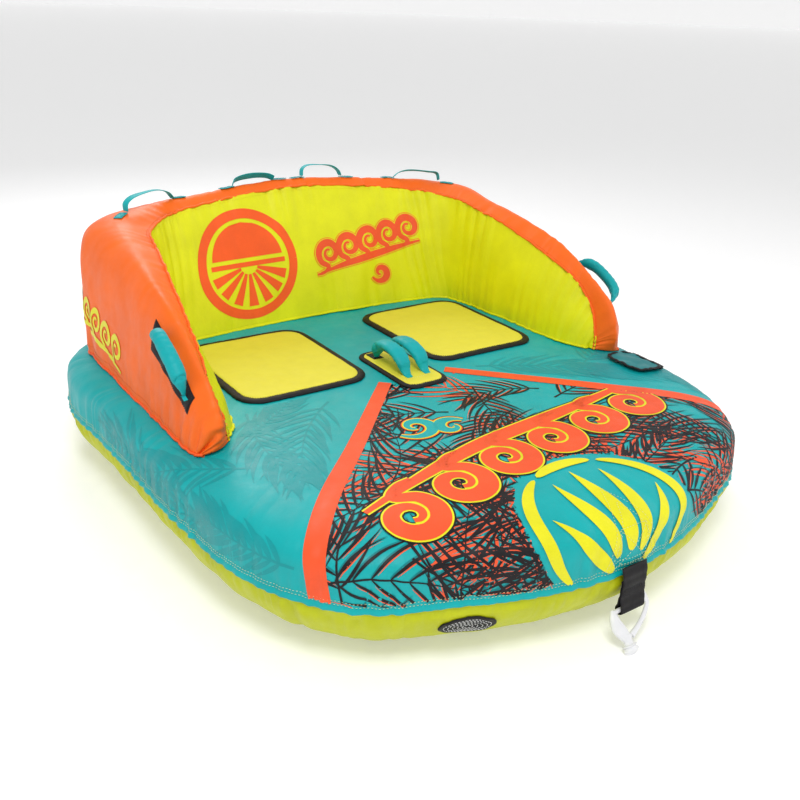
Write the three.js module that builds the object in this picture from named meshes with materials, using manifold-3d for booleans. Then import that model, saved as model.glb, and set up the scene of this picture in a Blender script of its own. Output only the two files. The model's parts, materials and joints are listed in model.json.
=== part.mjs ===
// Two-seat towable tube, millimetres, +Z up. The tow point faces -Y and the backrest closes the +Y end.
// An inflatable deck (a bladder inside a two-piece nylon cover) carries a U-shaped inflatable backrest
// with arms, sewn-on seat pads, webbing and padded handles, a tow strap with its quick hook, and valves.
import * as THREE from 'three';
import Module from 'manifold-3d';
import { mergeVertices } from 'three/addons/utils/BufferGeometryUtils.js';

const wasm = await Module();
wasm.setup();

// ---------------------------------------------------------------- driving dimensions

const SKIN = 2;                 // cover fabric with its coating and seam allowance
const BLADDER_SKIN = 2;         // bladder wall
const BLADDER_GAP = 11;         // bladder face to cover face
const CLEAR = 0.4;              // gap between pieces that touch
const SEW_LIFT = 1.6;           // underside of a sewn-on piece above the cover

const SEAM_Z = 139;             // height of the seam between the top and bottom covers
const DECK_Z = 283;             // height of the deck at its middle
const DECK_POWER = 6.5;         // how square the shoulder between deck and side is
const LAP = 10;                 // the top cover laps this far below the seam
const LAP_SCALE = 1.006;        // how far the lap stands outside the bottom cover
const RIM_SEGMENTS = 44;

const PAD = { inner: 109, outer: 504, front: 8, rear: 477, corner: 34, thick: 7, binding: 12 };
const CENTRE_PAD = { half: 74, front: -112, rear: 180, corner: 24, thick: 6, binding: 11 };

const VALVE = { x: 640, y: -264, flange: 27, neck: 20, insert: 12.6, throat: 6, depth: 24, cap: 22 };
const BACK_VALVE = { t: 0.545, w: 0.63 };   // on the back of the backrest, beside its middle
const FLAP = { inner: 588, hinge: 690, front: -336, rear: -197, lift: 9.5, thick: 2.4 };

const STRAP = { width: 76, ply: 4, top: 122, eye: 44, y: -889, eyeRadius: 8 };
const HOOK = { bar: 6, half: 51, pitch: 48 };
const ZIP = { half: 300, tape: 20, thick: 1.6, slider: { from: 22, to: 10, deep: 6, below: 20, above: 5 } };
const BASE_ZIP = { scale: 1.0035, gap: 1, z: 111 };
const BACK_ZIP = { y: 831, z: 300 };
const GROUND_Z = -30;           // underside of the deck below the zero of the stations

// Outline of the seam, right half, nose to stern. The stern's corner is an arc.
const NOSE = [
  [0, -873], [215, -843], [425, -768], [585, -690], [692, -555], [748, -400], [772, -200], [784, 40], [794, 300],
];
const STERN = { side: 807, rear: 868, corner: 325 };

// Backrest stations, right half, from the middle of the back to the front end of the arm. Each gives the
// inner foot (x, y), inner top seam, crown, outer top, outer bulge (x, y, z each) and outer foot (x, y).
const STATIONS = [
  { foot: [0, 560], seam: [0, 683, 687], crown: [0, 724, 705],
    top: [0, 772, 660], bulge: [0, 826, 440], heel: [0, 828] },
  { foot: [150, 555], seam: [155, 680, 680], crown: [158, 722, 699],
    top: [160, 771, 655], bulge: [165, 826, 438], heel: [165, 828] },
  { foot: [300, 545], seam: [300, 672, 665], crown: [305, 714, 686],
    top: [318, 770, 647], bulge: [330, 826, 436], heel: [330, 828] },
  { foot: [430, 532], seam: [408, 652, 652], crown: [438, 698, 675],
    top: [482, 758, 636], bulge: [505, 818, 434], heel: [508, 820] },
  { foot: [496, 514], seam: [480, 604, 643], crown: [545, 668, 664],
    top: [630, 735, 624], bulge: [652, 765, 434], heel: [650, 762] },
  { foot: [516, 480], seam: [540, 528, 630], crown: [620, 582, 652],
    top: [692, 632, 612], bulge: [714, 645, 432], heel: [712, 645] },
  { foot: [530, 420], seam: [558, 435, 612], crown: [632, 464, 630],
    top: [690, 484, 590], bulge: [718, 497, 426], heel: [720, 500] },
  { foot: [538, 325], seam: [576, 330, 590], crown: [642, 340, 610],
    top: [682, 345, 572], bulge: [711, 350, 414], heel: [720, 352] },
  { foot: [545, 220], seam: [594, 215, 556], crown: [649, 218, 586],
    top: [684, 220, 549], bulge: [709, 222, 400], heel: [717, 224] },
  { foot: [550, 110], seam: [610, 105, 517], crown: [652, 105, 556],
    top: [685, 108, 519], bulge: [708, 110, 385], heel: [714, 112] },
  { foot: [560, 0], seam: [627, -8, 467], crown: [653, -8, 503],
    top: [687, -8, 462], bulge: [707, -5, 355], heel: [713, 0] },
  { foot: [580, -72], seam: [630, -84, 394], crown: [652, -122, 434],
    top: [687, -104, 405], bulge: [704, -92, 330], heel: [709, -88] },
  { foot: [606, -108], seam: [621, -120, 321], crown: [650, -168, 372],
    top: [684, -152, 356], bulge: [700, -142, 302], heel: [705, -138] },
];
const NOSE_BULGE = [652, -184, 322];   // the fullest point of an arm's front end
const NOSE_PULL = 0.62;                // how far the front end swells towards that point
const ARM_TOE = { inner: [609, -128], outer: [690, -156], round: 16 };

// ---------------------------------------------------------------- small helpers

const V = (x, y, z) => new THREE.Vector3(x, y, z);
const lerp = THREE.MathUtils.lerp;

function material(color, roughness = 0.7, metalness = 0) {
  return new THREE.MeshStandardMaterial({ color, roughness, metalness });
}
const TEAL = material(0x0bb0b4);
const LIME = material(0xd3dc10);
const ORANGE = material(0xff702c);
const YELLOW = material(0xe6dc30);
const BLACK = material(0x1a161a, 0.85);
const WEB = material(0x12b4b8, 0.8);
const PVC = material(0xb8bcc0, 0.45);
const WHITE = material(0xe8e8ea, 0.4);

const part = new THREE.Group();
function add(name, geometry, mat, parent = part) {
  const mesh = new THREE.Mesh(geometry, mat);
  mesh.name = name;
  parent.add(mesh);
  return mesh;
}

// A closed surface from points and triangles, turned so that its faces point out.
function closed(points, triangles) {
  let volume = 0;
  for (const [a, b, c] of triangles) volume += points[a].dot(points[b].clone().cross(points[c]));
  const faces = volume < 0 ? triangles.map(([a, b, c]) => [a, c, b]) : triangles;
  const geometry = new THREE.BufferGeometry();
  geometry.setAttribute('position', new THREE.Float32BufferAttribute(points.flatMap((p) => p.toArray()), 3));
  geometry.setIndex(faces.flat());
  return geometry;
}

// Collects triangles over a grid of point numbers. wrap joins the last column to the first.
function gridFaces(rows, wrap, flip, out) {
  for (let i = 0; i + 1 < rows.length; i++) {
    const n = rows[i].length;
    for (let j = 0; j < (wrap ? n : n - 1); j++) {
      const k = (j + 1) % n;
      const quad = [rows[i][j], rows[i][k], rows[i + 1][k], rows[i + 1][j]];
      const order = flip ? [0, 3, 2, 1] : [0, 1, 2, 3];
      const [a, b, c, d] = order.map((m) => quad[m]);
      if (a !== b && b !== c && a !== c) out.push([a, b, c]);
      if (a !== c && c !== d && a !== d) out.push([a, c, d]);
    }
  }
}

// Unit normals of a grid of points, from the neighbours on each side.
function gridNormals(rows, wrap) {
  return rows.map((row, i) => row.map((point, j) => {
    const n = row.length;
    const before = wrap ? row[(j + n - 1) % n] : row[Math.max(j - 1, 0)];
    const after = wrap ? row[(j + 1) % n] : row[Math.min(j + 1, n - 1)];
    const up = rows[Math.min(i + 1, rows.length - 1)][j];
    const down = rows[Math.max(i - 1, 0)][j];
    return after.clone().sub(before).cross(up.clone().sub(down)).normalize();
  }));
}

// A sheet with thickness: the grid is its outer face, and the inner face lies `thick` along `side` times
// the normal. `pole` closes the first row with a point on each face.
function sheet(rows, thick, { wrap = false, side = 1, pole = null } = {}) {
  const normals = gridNormals(rows, wrap);
  const points = [];
  const triangles = [];
  const layer = (offset) => rows.map((row, i) => row.map((p, j) => {
    points.push(p.clone().addScaledVector(normals[i][j], offset));
    return points.length - 1;
  }));
  const outer = layer(0);
  const inner = layer(side * thick);
  gridFaces(outer, wrap, false, triangles);
  gridFaces(inner, wrap, true, triangles);
  const last = rows.length - 1;
  gridFaces([inner[last], outer[last]], wrap, true, triangles);
  if (pole) {
    const innerPole = pole.clone().add(V(0, 0, pole.z > SEAM_Z ? -thick : thick));
    for (const [ring, at, flip] of [[outer[0], pole, false], [inner[0], innerPole, true]]) {
      points.push(at);
      const centre = points.length - 1;
      ring.forEach((p, j) => {
        const q = ring[(j + 1) % ring.length];
        triangles.push(flip ? [centre, p, q] : [centre, q, p]);
      });
    }
  } else {
    gridFaces([outer[0], inner[0]], wrap, true, triangles);
  }
  if (!wrap) {
    gridFaces([outer.map((row) => row[0]), inner.map((row) => row[0])], false, false, triangles);
    gridFaces([outer.map((row) => row.at(-1)), inner.map((row) => row.at(-1))], false, true, triangles);
  }
  return closed(points, triangles);
}

// A solid whose sections are closed loops of points, with a flat fan over each end.
function loft(loops) {
  const points = [];
  const triangles = [];
  const rows = loops.map((loop) => loop.map((p) => points.push(p) - 1));
  gridFaces(rows, true, false, triangles);
  for (const [row, flip] of [[rows[0], false], [rows.at(-1), true]]) {
    for (let j = 1; j + 1 < row.length; j++) {
      triangles.push(flip ? [row[0], row[j], row[j + 1]] : [row[0], row[j + 1], row[j]]);
    }
  }
  return closed(points, triangles);
}

// A ring-shaped solid: each section is a closed loop and the last section meets the first.
function ringLoft(loops) {
  const points = [];
  const triangles = [];
  const rows = loops.map((loop) => loop.map((p) => points.push(p) - 1));
  gridFaces([...rows, rows[0]], true, false, triangles);
  return closed(points, triangles);
}

// Booleans on closed geometries.
function solid(geometry) {
  const bare = geometry.clone();
  bare.deleteAttribute('normal');
  bare.deleteAttribute('uv');
  const merged = mergeVertices(bare, 1e-3);
  return new wasm.Manifold(new wasm.Mesh({
    numProp: 3,
    vertProperties: new Float32Array(merged.attributes.position.array),
    triVerts: new Uint32Array(merged.index.array),
  }));
}
function fromSolid(manifold) {
  const mesh = manifold.getMesh();
  const geometry = new THREE.BufferGeometry();
  geometry.setAttribute('position', new THREE.BufferAttribute(new Float32Array(mesh.vertProperties), 3));
  geometry.setIndex(Array.from(mesh.triVerts));
  return geometry;
}
function cut(geometry, ...tools) {
  return fromSolid(tools.reduce((left, tool) => left.subtract(solid(tool)), solid(geometry)));
}

// A placement whose +Z is `up`, at `at`, with +X as near to `along` as it can be.
function frameAt(at, up, along = V(1, 0, 0)) {
  const z = up.clone().normalize();
  const y = z.clone().cross(along).normalize();
  return new THREE.Matrix4().makeBasis(y.clone().cross(z), y, z).setPosition(at);
}

// A lathed piece from [radius, height] pairs, standing along +Z.
function lathe(profile, sides = 16) {
  const points = profile.map(([r, h]) => new THREE.Vector2(r, h));
  return new THREE.LatheGeometry(points, sides).rotateX(Math.PI / 2);
}

// ---------------------------------------------------------------- deck: outline and height

// Outline points of the seam, evenly spaced, starting at the nose and running round by the right side.
function seamOutline(count) {
  const { side, rear, corner } = STERN;
  const half = NOSE.map(([x, y]) => V(x, y, 0));
  for (const turn of [0, 30, 60, 90].map(THREE.MathUtils.degToRad)) {
    half.push(V(side - corner * (1 - Math.cos(turn)), rear - corner * (1 - Math.sin(turn)), 0));
  }
  half.push(V(ZIP.half, rear, 0), V(0, rear, 0));
  const mirrored = half.slice(1, -1).reverse().map((p) => V(-p.x, p.y, 0));
  const curve = new THREE.CatmullRomCurve3([...half, ...mirrored], true, 'centripetal');
  return curve.getSpacedPoints(count).slice(0, -1);
}
const OUTLINE = seamOutline(RIM_SEGMENTS);
const FINE = seamOutline(360);

// How far out a place on the deck lies: 0 at the middle, 1 on the seam's outline.
function reach(x, y) {
  const angle = Math.atan2(x, -y);
  const turns = FINE.map((p) => Math.atan2(p.x, -p.y));
  const first = turns.indexOf(Math.min(...turns));
  const from = turns.reduce((best, t, i) => (t <= angle && t > turns[best] ? i : best), first);
  const a = FINE[from];
  const b = FINE[(from + 1) % FINE.length];
  const edge = V(b.x - a.x, b.y - a.y, 0);
  const across = x * edge.y - y * edge.x;
  return across === 0 ? 0 : across / (a.x * edge.y - a.y * edge.x);
}
function deckZ(x, y) {
  const k = Math.min(Math.abs(reach(x, y)), 1);
  return SEAM_Z + (DECK_Z - SEAM_Z) * (1 - k ** DECK_POWER) ** (1 / DECK_POWER);
}
function deckNormal(x, y) {
  const step = 2;
  const dx = deckZ(x + step, y) - deckZ(x - step, y);
  const dy = deckZ(x, y + step) - deckZ(x, y - step);
  return V(-dx, -dy, 2 * step).normalize();
}
const onDeck = (x, y, lift = 0) => V(x, y, deckZ(x, y) + lift);

// Sections of the deck from its middle out to the seam, as [share of the outline, height].
function topProfile() {
  return [0.4, 0.68, 0.84, 0.93, 0.975, 1].map((k) => {
    const share = Math.max(0, 1 - k ** DECK_POWER) ** (1 / DECK_POWER);
    return [k, SEAM_Z + (DECK_Z - SEAM_Z) * share];
  });
}
const BOTTOM = [
  [0.45, GROUND_Z], [0.81, GROUND_Z], [0.87, -22], [0.927, 8], [0.97, 50], [0.995, 90],
  [1.003, SEAM_Z - LAP], [0.999, SEAM_Z - 2],
];

// The outline at one height, scaled by k and grown outward.
function rim(k, z, grow = 0) {
  return OUTLINE.map((p) => V(p.x * k, p.y * k, z).addScaledVector(V(p.x, p.y, 0).normalize(), grow));
}

function topCover() {
  const rows = topProfile().map(([k, z]) => rim(k, z));
  rows.push(rim(LAP_SCALE, SEAM_Z - LAP / 2, 3), rim(LAP_SCALE, SEAM_Z - LAP, 3.5));
  return sheet(rows, SKIN, { wrap: true, pole: V(0, 0, DECK_Z) });
}
function bottomCover() {
  const rows = BOTTOM.map(([k, z]) => rim(k, z));
  return sheet(rows, SKIN, { wrap: true, side: -1, pole: V(0, 0, GROUND_Z) });
}
function baseBladder() {
  const gap = BLADDER_GAP + SKIN;
  const top = topProfile().filter((row, i) => i % 2 === 0 || i === 3)
    .map(([k, z]) => [k, Math.max(z - gap, SEAM_Z), k > 0.9 ? -gap : 0]);
  const flat = 40;              // below this height the bladder rests on the bottom cover
  const bottom = [0, 1, 3, 5].map((i) => BOTTOM[i])
    .map(([k, z]) => [k, z + (z < flat ? gap : 0), z < flat ? 0 : -gap]).reverse();
  const rows = [...top, ...bottom].map(([k, z, grow]) => rim(k, z, grow));
  const points = [];
  const triangles = [];
  const shell = (offset, flip) => {
    const normals = gridNormals(rows, true);
    const number = (p, normal) => points.push(p.clone().addScaledVector(normal, offset)) - 1;
    const numbers = rows.map((row, i) => row.map((p, j) => number(p, normals[i][j])));
    gridFaces(numbers, true, flip, triangles);
    const ends = [[numbers[0], DECK_Z - gap - offset, flip], [numbers.at(-1), GROUND_Z + gap + offset, !flip]];
    for (const [ring, z, turn] of ends) {
      const centre = points.push(V(0, 0, z)) - 1;
      ring.forEach((p, j) => {
        const q = ring[(j + 1) % ring.length];
        triangles.push(turn ? [centre, p, q] : [centre, q, p]);
      });
    }
  };
  shell(0, false);
  const outside = closed(points.splice(0), triangles.splice(0));
  shell(BLADDER_SKIN, false);
  return fromSolid(solid(outside).subtract(solid(closed(points, triangles))));
}

// ---------------------------------------------------------------- backrest surfaces

// A rail runs through one point of every station, from the left arm's front end (0) to the right's (1).
function rail(pick) {
  const right = STATIONS.map(pick);
  const left = right.slice(1).reverse().map((p) => V(-p.x, p.y, p.z));
  return new THREE.CatmullRomCurve3([...left, ...right], false, 'catmullrom', 0.5);
}
const RAILS = {
  foot: rail((s) => V(...s.foot, 0)),
  seam: rail((s) => V(...s.seam)),
  crown: rail((s) => V(...s.crown)),
  top: rail((s) => V(...s.top)),
  bulge: rail((s) => V(...s.bulge)),
  heel: rail((s) => V(...s.heel, 0)),
};
const FOOT_LIFT = 3.5;          // underside of the backrest's covers above the deck
const WALL_SWELL = 14;          // how far the inner panel stands out at mid height
function station(t) {
  const at = Object.fromEntries(Object.entries(RAILS).map(([name, curve]) => [name, curve.getPoint(t)]));
  at.foot.z = deckZ(at.foot.x, at.foot.y) + FOOT_LIFT;
  at.heel.z = deckZ(at.heel.x, at.heel.y) + FOOT_LIFT;
  return at;
}
// A point of the inner panel: v is 0 at the deck and 1 at the top seam. The panel swells a little.
function wallPoint(t, v) {
  const { foot, seam } = station(t);
  const swell = WALL_SWELL * Math.min(1, (seam.z - foot.z) / 200) * Math.sin(Math.PI * v);
  const inward = V(-foot.x, -(foot.y - 150), 0).normalize();
  return foot.clone().lerp(seam, v).addScaledVector(inward, swell);
}
// A point of the outer cover: w is 0 at the top seam, about 0.5 at the outer top, 1 at the deck.
function coverPoint(t, w) {
  const { seam, crown, top, bulge, heel } = station(t);
  return new THREE.CatmullRomCurve3([seam, crown, top, bulge, heel], false, 'centripetal').getPoint(w);
}

const BACK_STEPS = 30;
function spaced(count, from = 0, to = 1) {
  return Array.from({ length: count + 1 }, (_, i) => lerp(from, to, i / count));
}
const COVER_W = [0, 0.13, 0.27, 0.42, 0.56, 0.78, 1];
const WALL_V = [0, 0.5, 1];

// The rows that close the outer cover round the front end of an arm, out to its toe on the deck.
function noseRows(sign, widths) {
  const mirror = (p) => V(sign * p[0], p[1], p[2] ?? 0);
  const end = sign > 0 ? 1 : 0;
  const toe = (w) => {
    const p = mirror(ARM_TOE.inner).lerp(mirror(ARM_TOE.outer), w);
    return onDeck(p.x, p.y - ARM_TOE.round * Math.sin(Math.PI * w), FOOT_LIFT);
  };
  const full = mirror(NOSE_BULGE);
  const middle = widths.map((w) => {
    const p = coverPoint(end, w).lerp(toe(w), 0.5);
    return p.lerp(full, NOSE_PULL * Math.sin(Math.PI * w));
  });
  return [middle, widths.map(toe)];
}
function coverRows(widths = COVER_W, steps = BACK_STEPS) {
  const middle = spaced(steps).map((t) => widths.map((w) => coverPoint(t, w)));
  return [...noseRows(-1, widths).reverse(), ...middle, ...noseRows(1, widths)];
}
function backrestCover() {
  return sheet(coverRows(), SKIN);
}
function backrestPanel() {
  const rows = spaced(BACK_STEPS).map((t) => WALL_V.map((v) => wallPoint(t, v)));
  const underSeam = V(0, 0, -SKIN - CLEAR);
  rows.forEach((row) => row.at(-1).add(underSeam));
  return sheet(rows, SKIN);
}
// The backrest's bladder: closed sections inside the covers, shrunk along their normals.
function backrestBladder() {
  const widths = [0, 0.2, 0.38, 0.55, 0.78, 1];
  const loops = spaced(24, 0.015, 0.985).map((t) => {
    const cover = widths.map((w) => coverPoint(t, w));
    const wall = wallPoint(t, 0.5);
    const { foot, heel } = station(t);
    cover.at(-1).z += BLADDER_GAP;
    heel.z += BLADDER_GAP;
    foot.z += BLADDER_GAP;
    return [...cover, heel.clone().lerp(foot, 0.5), foot, wall];
  });
  const shrink = (offset) => {
    const normals = gridNormals(loops, true);
    const first = normals[0].length;
    return loops.map((loop, i) => loop.map((p, j) => {
      const centre = loop.reduce((sum, q) => sum.add(q), V(0, 0, 0)).divideScalar(first);
      const outward = Math.sign(normals[i][j].dot(p.clone().sub(centre))) || 1;
      return p.clone().addScaledVector(normals[i][j], -outward * offset);
    }));
  };
  const outside = loft(shrink(SKIN + BLADDER_GAP));
  const inside = loft(shrink(SKIN + BLADDER_GAP + BLADDER_SKIN).slice(1, -1));
  return fromSolid(solid(outside).subtract(solid(inside)));
}

// ---------------------------------------------------------------- sewn-on plates and rings

// A surface is a function of two coordinates; its normal is worked out from small steps.
function surface(point, flip = false, step = 1) {
  const normal = (p, q) => {
    const alongP = point(p + step, q).sub(point(p - step, q));
    const alongQ = point(p, q + step).sub(point(p, q - step));
    const cross = alongP.cross(alongQ).normalize();
    return flip ? cross.negate() : cross;
  };
  return { point, lifted: (p, q, lift) => point(p, q).addScaledVector(normal(p, q), lift), normal };
}
const DECK = surface((x, y) => onDeck(x, y));
const within = (share) => THREE.MathUtils.clamp(share, 0, 1);
const COVER = surface((t, w) => coverPoint(within(t), within(w)), false, 0.004);

// The lower cover's side: s is the share of the way round the seam, z the height.
const sideShare = new THREE.CatmullRomCurve3(OUTLINE.map((p) => p.clone()), true);
function sidePoint(s, z) {
  const upper = BOTTOM.findIndex(([, height]) => height > z);
  const [k0, z0] = BOTTOM[upper - 1];
  const [k1, z1] = BOTTOM[upper];
  const p = sideShare.getPoint((s + 1) % 1);
  const k = lerp(k0, k1, (z - z0) / (z1 - z0));
  return V(p.x * k, p.y * k, z);
}

// A plate on a surface: its outline is scaled towards its centre to make the rows between.
function plate(on, outline, lift, thick, shares = [0.34, 0.68, 1]) {
  const cp = outline.reduce((sum, [p]) => sum + p, 0) / outline.length;
  const cq = outline.reduce((sum, [, q]) => sum + q, 0) / outline.length;
  const points = [];
  const triangles = [];
  const face = (height, flip) => {
    const number = (p, q, k) => points.push(on.lifted(lerp(cp, p, k), lerp(cq, q, k), height)) - 1;
    const rows = shares.map((k) => outline.map(([p, q]) => number(p, q, k)));
    const centre = points.push(on.lifted(cp, cq, height)) - 1;
    gridFaces(rows, true, flip, triangles);
    rows[0].forEach((a, j) => {
      const b = rows[0][(j + 1) % rows[0].length];
      triangles.push(flip ? [centre, a, b] : [centre, b, a]);
    });
    return rows.at(-1);
  };
  const high = face(lift + thick, false);
  const low = face(lift, true);
  gridFaces([low, high], true, true, triangles);
  return closed(points, triangles);
}
// A flat ring on a surface, between two outlines with the same number of points.
function band(on, outer, inner, lift, thick) {
  return ringLoft(outer.map(([p, q], j) => [
    on.lifted(p, q, lift), on.lifted(p, q, lift + thick),
    on.lifted(...inner[j], lift + thick), on.lifted(...inner[j], lift),
  ]));
}
function roundedRect(x0, x1, y0, y1, radius, inset = 0, turns = [0, 45, 90]) {
  const r = Math.max(radius - inset, 4);
  const corners = [[x1, y0, -90], [x1, y1, 0], [x0, y1, 90], [x0, y0, 180]];
  return corners.flatMap(([x, y, start], c) => {
    const cx = x + (c < 2 ? -1 : 1) * (inset + r);
    const cy = y + (c === 0 || c === 3 ? 1 : -1) * (inset + r);
    return turns.map((turn) => {
      const a = THREE.MathUtils.degToRad(start + turn);
      return [cx + r * Math.cos(a), cy + r * Math.sin(a)];
    });
  });
}
// Extra points along the long sides keep a plate close to a curved surface.
function refined(outline, longest) {
  return outline.flatMap(([x, y], j) => {
    const [nx, ny] = outline[(j + 1) % outline.length];
    const parts = Math.max(1, Math.ceil(Math.hypot(nx - x, ny - y) / longest));
    return spaced(parts).slice(0, -1).map((f) => [lerp(x, nx, f), lerp(y, ny, f)]);
  });
}
function ellipse(cp, cq, rp, rq, count) {
  return spaced(count, 0, 2 * Math.PI).slice(0, -1).map((a) => [cp + rp * Math.cos(a), cq + rq * Math.sin(a)]);
}

// ---------------------------------------------------------------- handles

// A webbing loop or padded grip: a strip along a curve. `across` is its width direction, and its half
// width and half thickness grow from its feet to its middle.
function gripLoop(points, across, foot, middle, sides, steps, spread = 0.18) {
  const curve = new THREE.CatmullRomCurve3(points, false, 'centripetal');
  const loops = spaced(steps).map((u) => {
    const at = curve.getPoint(u);
    const out = curve.getTangent(u).cross(across).normalize();
    const share = THREE.MathUtils.smoothstep(Math.min(u, 1 - u), 0, spread);
    const halfWidth = lerp(foot[0], middle[0], share);
    const halfThick = lerp(foot[1], middle[1], share);
    return spaced(sides).slice(0, -1).map((f) => {
      const a = 2 * Math.PI * f + Math.PI / sides;
      const square = sides === 4 ? Math.SQRT2 : 1;
      return at.clone().addScaledVector(across, halfWidth * square * Math.cos(a))
        .addScaledVector(out, halfThick * square * Math.sin(a));
    });
  });
  return loft(loops);
}
// The points of an arch from foot a to foot b, rising `height` along `up` after it leaves its feet.
function arch(a, b, up, height, shoulder = 0.2) {
  const at = (f, h) => a.clone().lerp(b, f).addScaledVector(up, h * height);
  return [
    at(0, 0), at(0.05, 0.45), at(shoulder, 0.88), at(0.5, 1), at(1 - shoulder, 0.88), at(0.95, 0.45), at(1, 0),
  ];
}
function tilted(vector, axis, degrees) {
  return vector.clone().applyAxisAngle(axis, THREE.MathUtils.degToRad(degrees));
}
// Where the outer cover has a given x (or y) on the line w, searched along the backrest.
function coverT(w, axis, value, from, to) {
  let [low, high] = [from, to];
  for (let i = 0; i < 40; i++) {
    const middle = (low + high) / 2;
    const rising = coverPoint(high, w)[axis] > coverPoint(low, w)[axis];
    if ((coverPoint(middle, w)[axis] < value) === rising) low = middle;
    else high = middle;
  }
  return low;
}

// ---------------------------------------------------------------- deck, pads and backrest

const valveAt = frameAt(onDeck(VALVE.x, VALVE.y), deckNormal(VALVE.x, VALVE.y));
const backValvePoint = coverPoint(BACK_VALVE.t, BACK_VALVE.w);
const backValveAt = frameAt(backValvePoint, COVER.normal(BACK_VALVE.t, BACK_VALVE.w));
function drill(radius, frame) {
  return new THREE.CylinderGeometry(radius, radius, 60, 20).rotateX(Math.PI / 2).applyMatrix4(frame);
}

const VENT = { share: 0, x: -385, z: 72, wide: 60, high: 30 };
VENT.share = spaced(400, 0.5, 1).find((s) => sideShare.getPoint(s).x > VENT.x && sideShare.getPoint(s).y < 0);
const VENT_SPAN = VENT.wide / sideShare.getLength();
const SIDE = surface(sidePoint, false, 0.002);

add('base_top_cover', cut(topCover(), drill(VALVE.neck + CLEAR, valveAt)), TEAL);
const ventPoint = sidePoint(VENT.share, VENT.z);
const ventAt = frameAt(ventPoint, V(ventPoint.x, ventPoint.y, 0));
add('base_bottom_cover', cut(bottomCover(), drill(VENT.high * 0.6, ventAt)), LIME);
add('base_bladder', cut(baseBladder(), drill(VALVE.neck + CLEAR, valveAt)), PVC);
add('backrest_outer_cover', cut(backrestCover(), drill(VALVE.neck + CLEAR, backValveAt)), ORANGE);
add('backrest_inner_panel', backrestPanel(), YELLOW);
add('backrest_bladder', cut(backrestBladder(), drill(VALVE.neck + CLEAR, backValveAt)), PVC);

function seatPad(name, sign, x0, x1, y0, y1, size) {
  const place = (outline) => outline.map(([x, y]) => [sign * x, y]);
  const outer = refined(roundedRect(x0, x1, y0, y1, size.corner), 130);
  const inner = refined(roundedRect(x0, x1, y0, y1, size.corner, size.binding), 130).slice(0, outer.length);
  const core = refined(roundedRect(x0, x1, y0, y1, size.corner, size.binding + CLEAR), 130);
  add(name, plate(DECK, place(core), SEW_LIFT, size.thick, [0.5, 1]), YELLOW);
  add(`${name}_binding`, band(DECK, place(outer), place(inner), SEW_LIFT, size.thick + 1), BLACK);
}
seatPad('seat_pad_left', -1, PAD.inner, PAD.outer, PAD.front, PAD.rear, PAD);
seatPad('seat_pad_right', 1, PAD.inner, PAD.outer, PAD.front, PAD.rear, PAD);
seatPad('centre_pad', 1, -CENTRE_PAD.half, CENTRE_PAD.half, CENTRE_PAD.front, CENTRE_PAD.rear, CENTRE_PAD);

// ---------------------------------------------------------------- centre grips

const CENTRE_GRIP = { x: 31, front: -38, rear: 118, foot: [5, 3], middle: [25, 13], rise: 50, lift: 7 };
for (const [side, sign] of [['left', -1], ['right', 1]]) {
  const { x, front, rear, foot, middle, rise, lift } = CENTRE_GRIP;
  const floor = DECK_Z + SEW_LIFT + CENTRE_PAD.thick + lift;
  const path = [
    [front, 0], [front + 6, 0.3], [front + 30, 0.66], [front + 66, 0.93], [rear - 50, 1], [rear - 18, 0.72],
    [rear - 3, 0.3], [rear, 0],
  ];
  const points = path.map(([y, h]) => V(sign * x, y, floor + rise * h));
  add(`centre_grip_${side}`, gripLoop(points, V(1, 0, 0), foot, middle, 8, 12), WEB);
}

// ---------------------------------------------------------------- top handles

const TOP_W = 0.25;
const TOP_HANDLES = [
  { name: 'top_handle_1', ends: [-603, -362], rest: 0, rise: 38 },
  { name: 'top_handle_2', ends: [-236, -9], rest: 40, rise: 22 },
  { name: 'top_handle_3', ends: [9, 236], rest: 0, rise: 35 },
  { name: 'top_handle_4', ends: [362, 603], rest: 20, rise: 26 },
];
const TAB = { length: 34, halfW: 0.075, thick: 2, gap: 7 };
const TOP_GRIP = { foot: [5, 2], middle: [13, 2], lift: 6.5 };
function crownT(x) {
  return coverT(TOP_W, 'x', x, 0.02, 0.98);
}
for (const { name, ends, rest, rise } of TOP_HANDLES) {
  const outerT = ends.map(crownT);
  const innerT = [crownT(ends[0] + TAB.length), crownT(ends[1] - TAB.length)];
  const w = [TOP_W - TAB.halfW, TOP_W + TAB.halfW];
  const tabs = [[outerT[0], innerT[0]], [innerT[1], outerT[1]]];
  tabs.forEach(([t0, t1], i) => {
    const outline = refined([[t0, w[0]], [t1, w[0]], [t1, w[1]], [t0, w[1]]], 0.05);
    add(`${name}_tab_${'ab'[i]}`, plate(COVER, outline, SEW_LIFT, TAB.thick, [1]), WEB);
  });
  const reachIn = TAB.length + TAB.gap;
  const feet = [crownT(ends[0] + reachIn), crownT(ends[1] - reachIn)]
    .map((t) => COVER.lifted(t, TOP_W, TOP_GRIP.lift));
  const line = feet[1].clone().sub(feet[0]).normalize();
  const middleT = (innerT[0] + innerT[1]) / 2;
  const up = COVER.normal(middleT, TOP_W);
  up.addScaledVector(line, -up.dot(line)).normalize();
  const leant = tilted(up, line, -rest);
  const points = arch(feet[0], feet[1], leant, rise);
  const across = line.clone().cross(leant).normalize();
  add(name, gripLoop(points, across, TOP_GRIP.foot, TOP_GRIP.middle, 4, 12), WEB);
}

// ---------------------------------------------------------------- side grips

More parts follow.
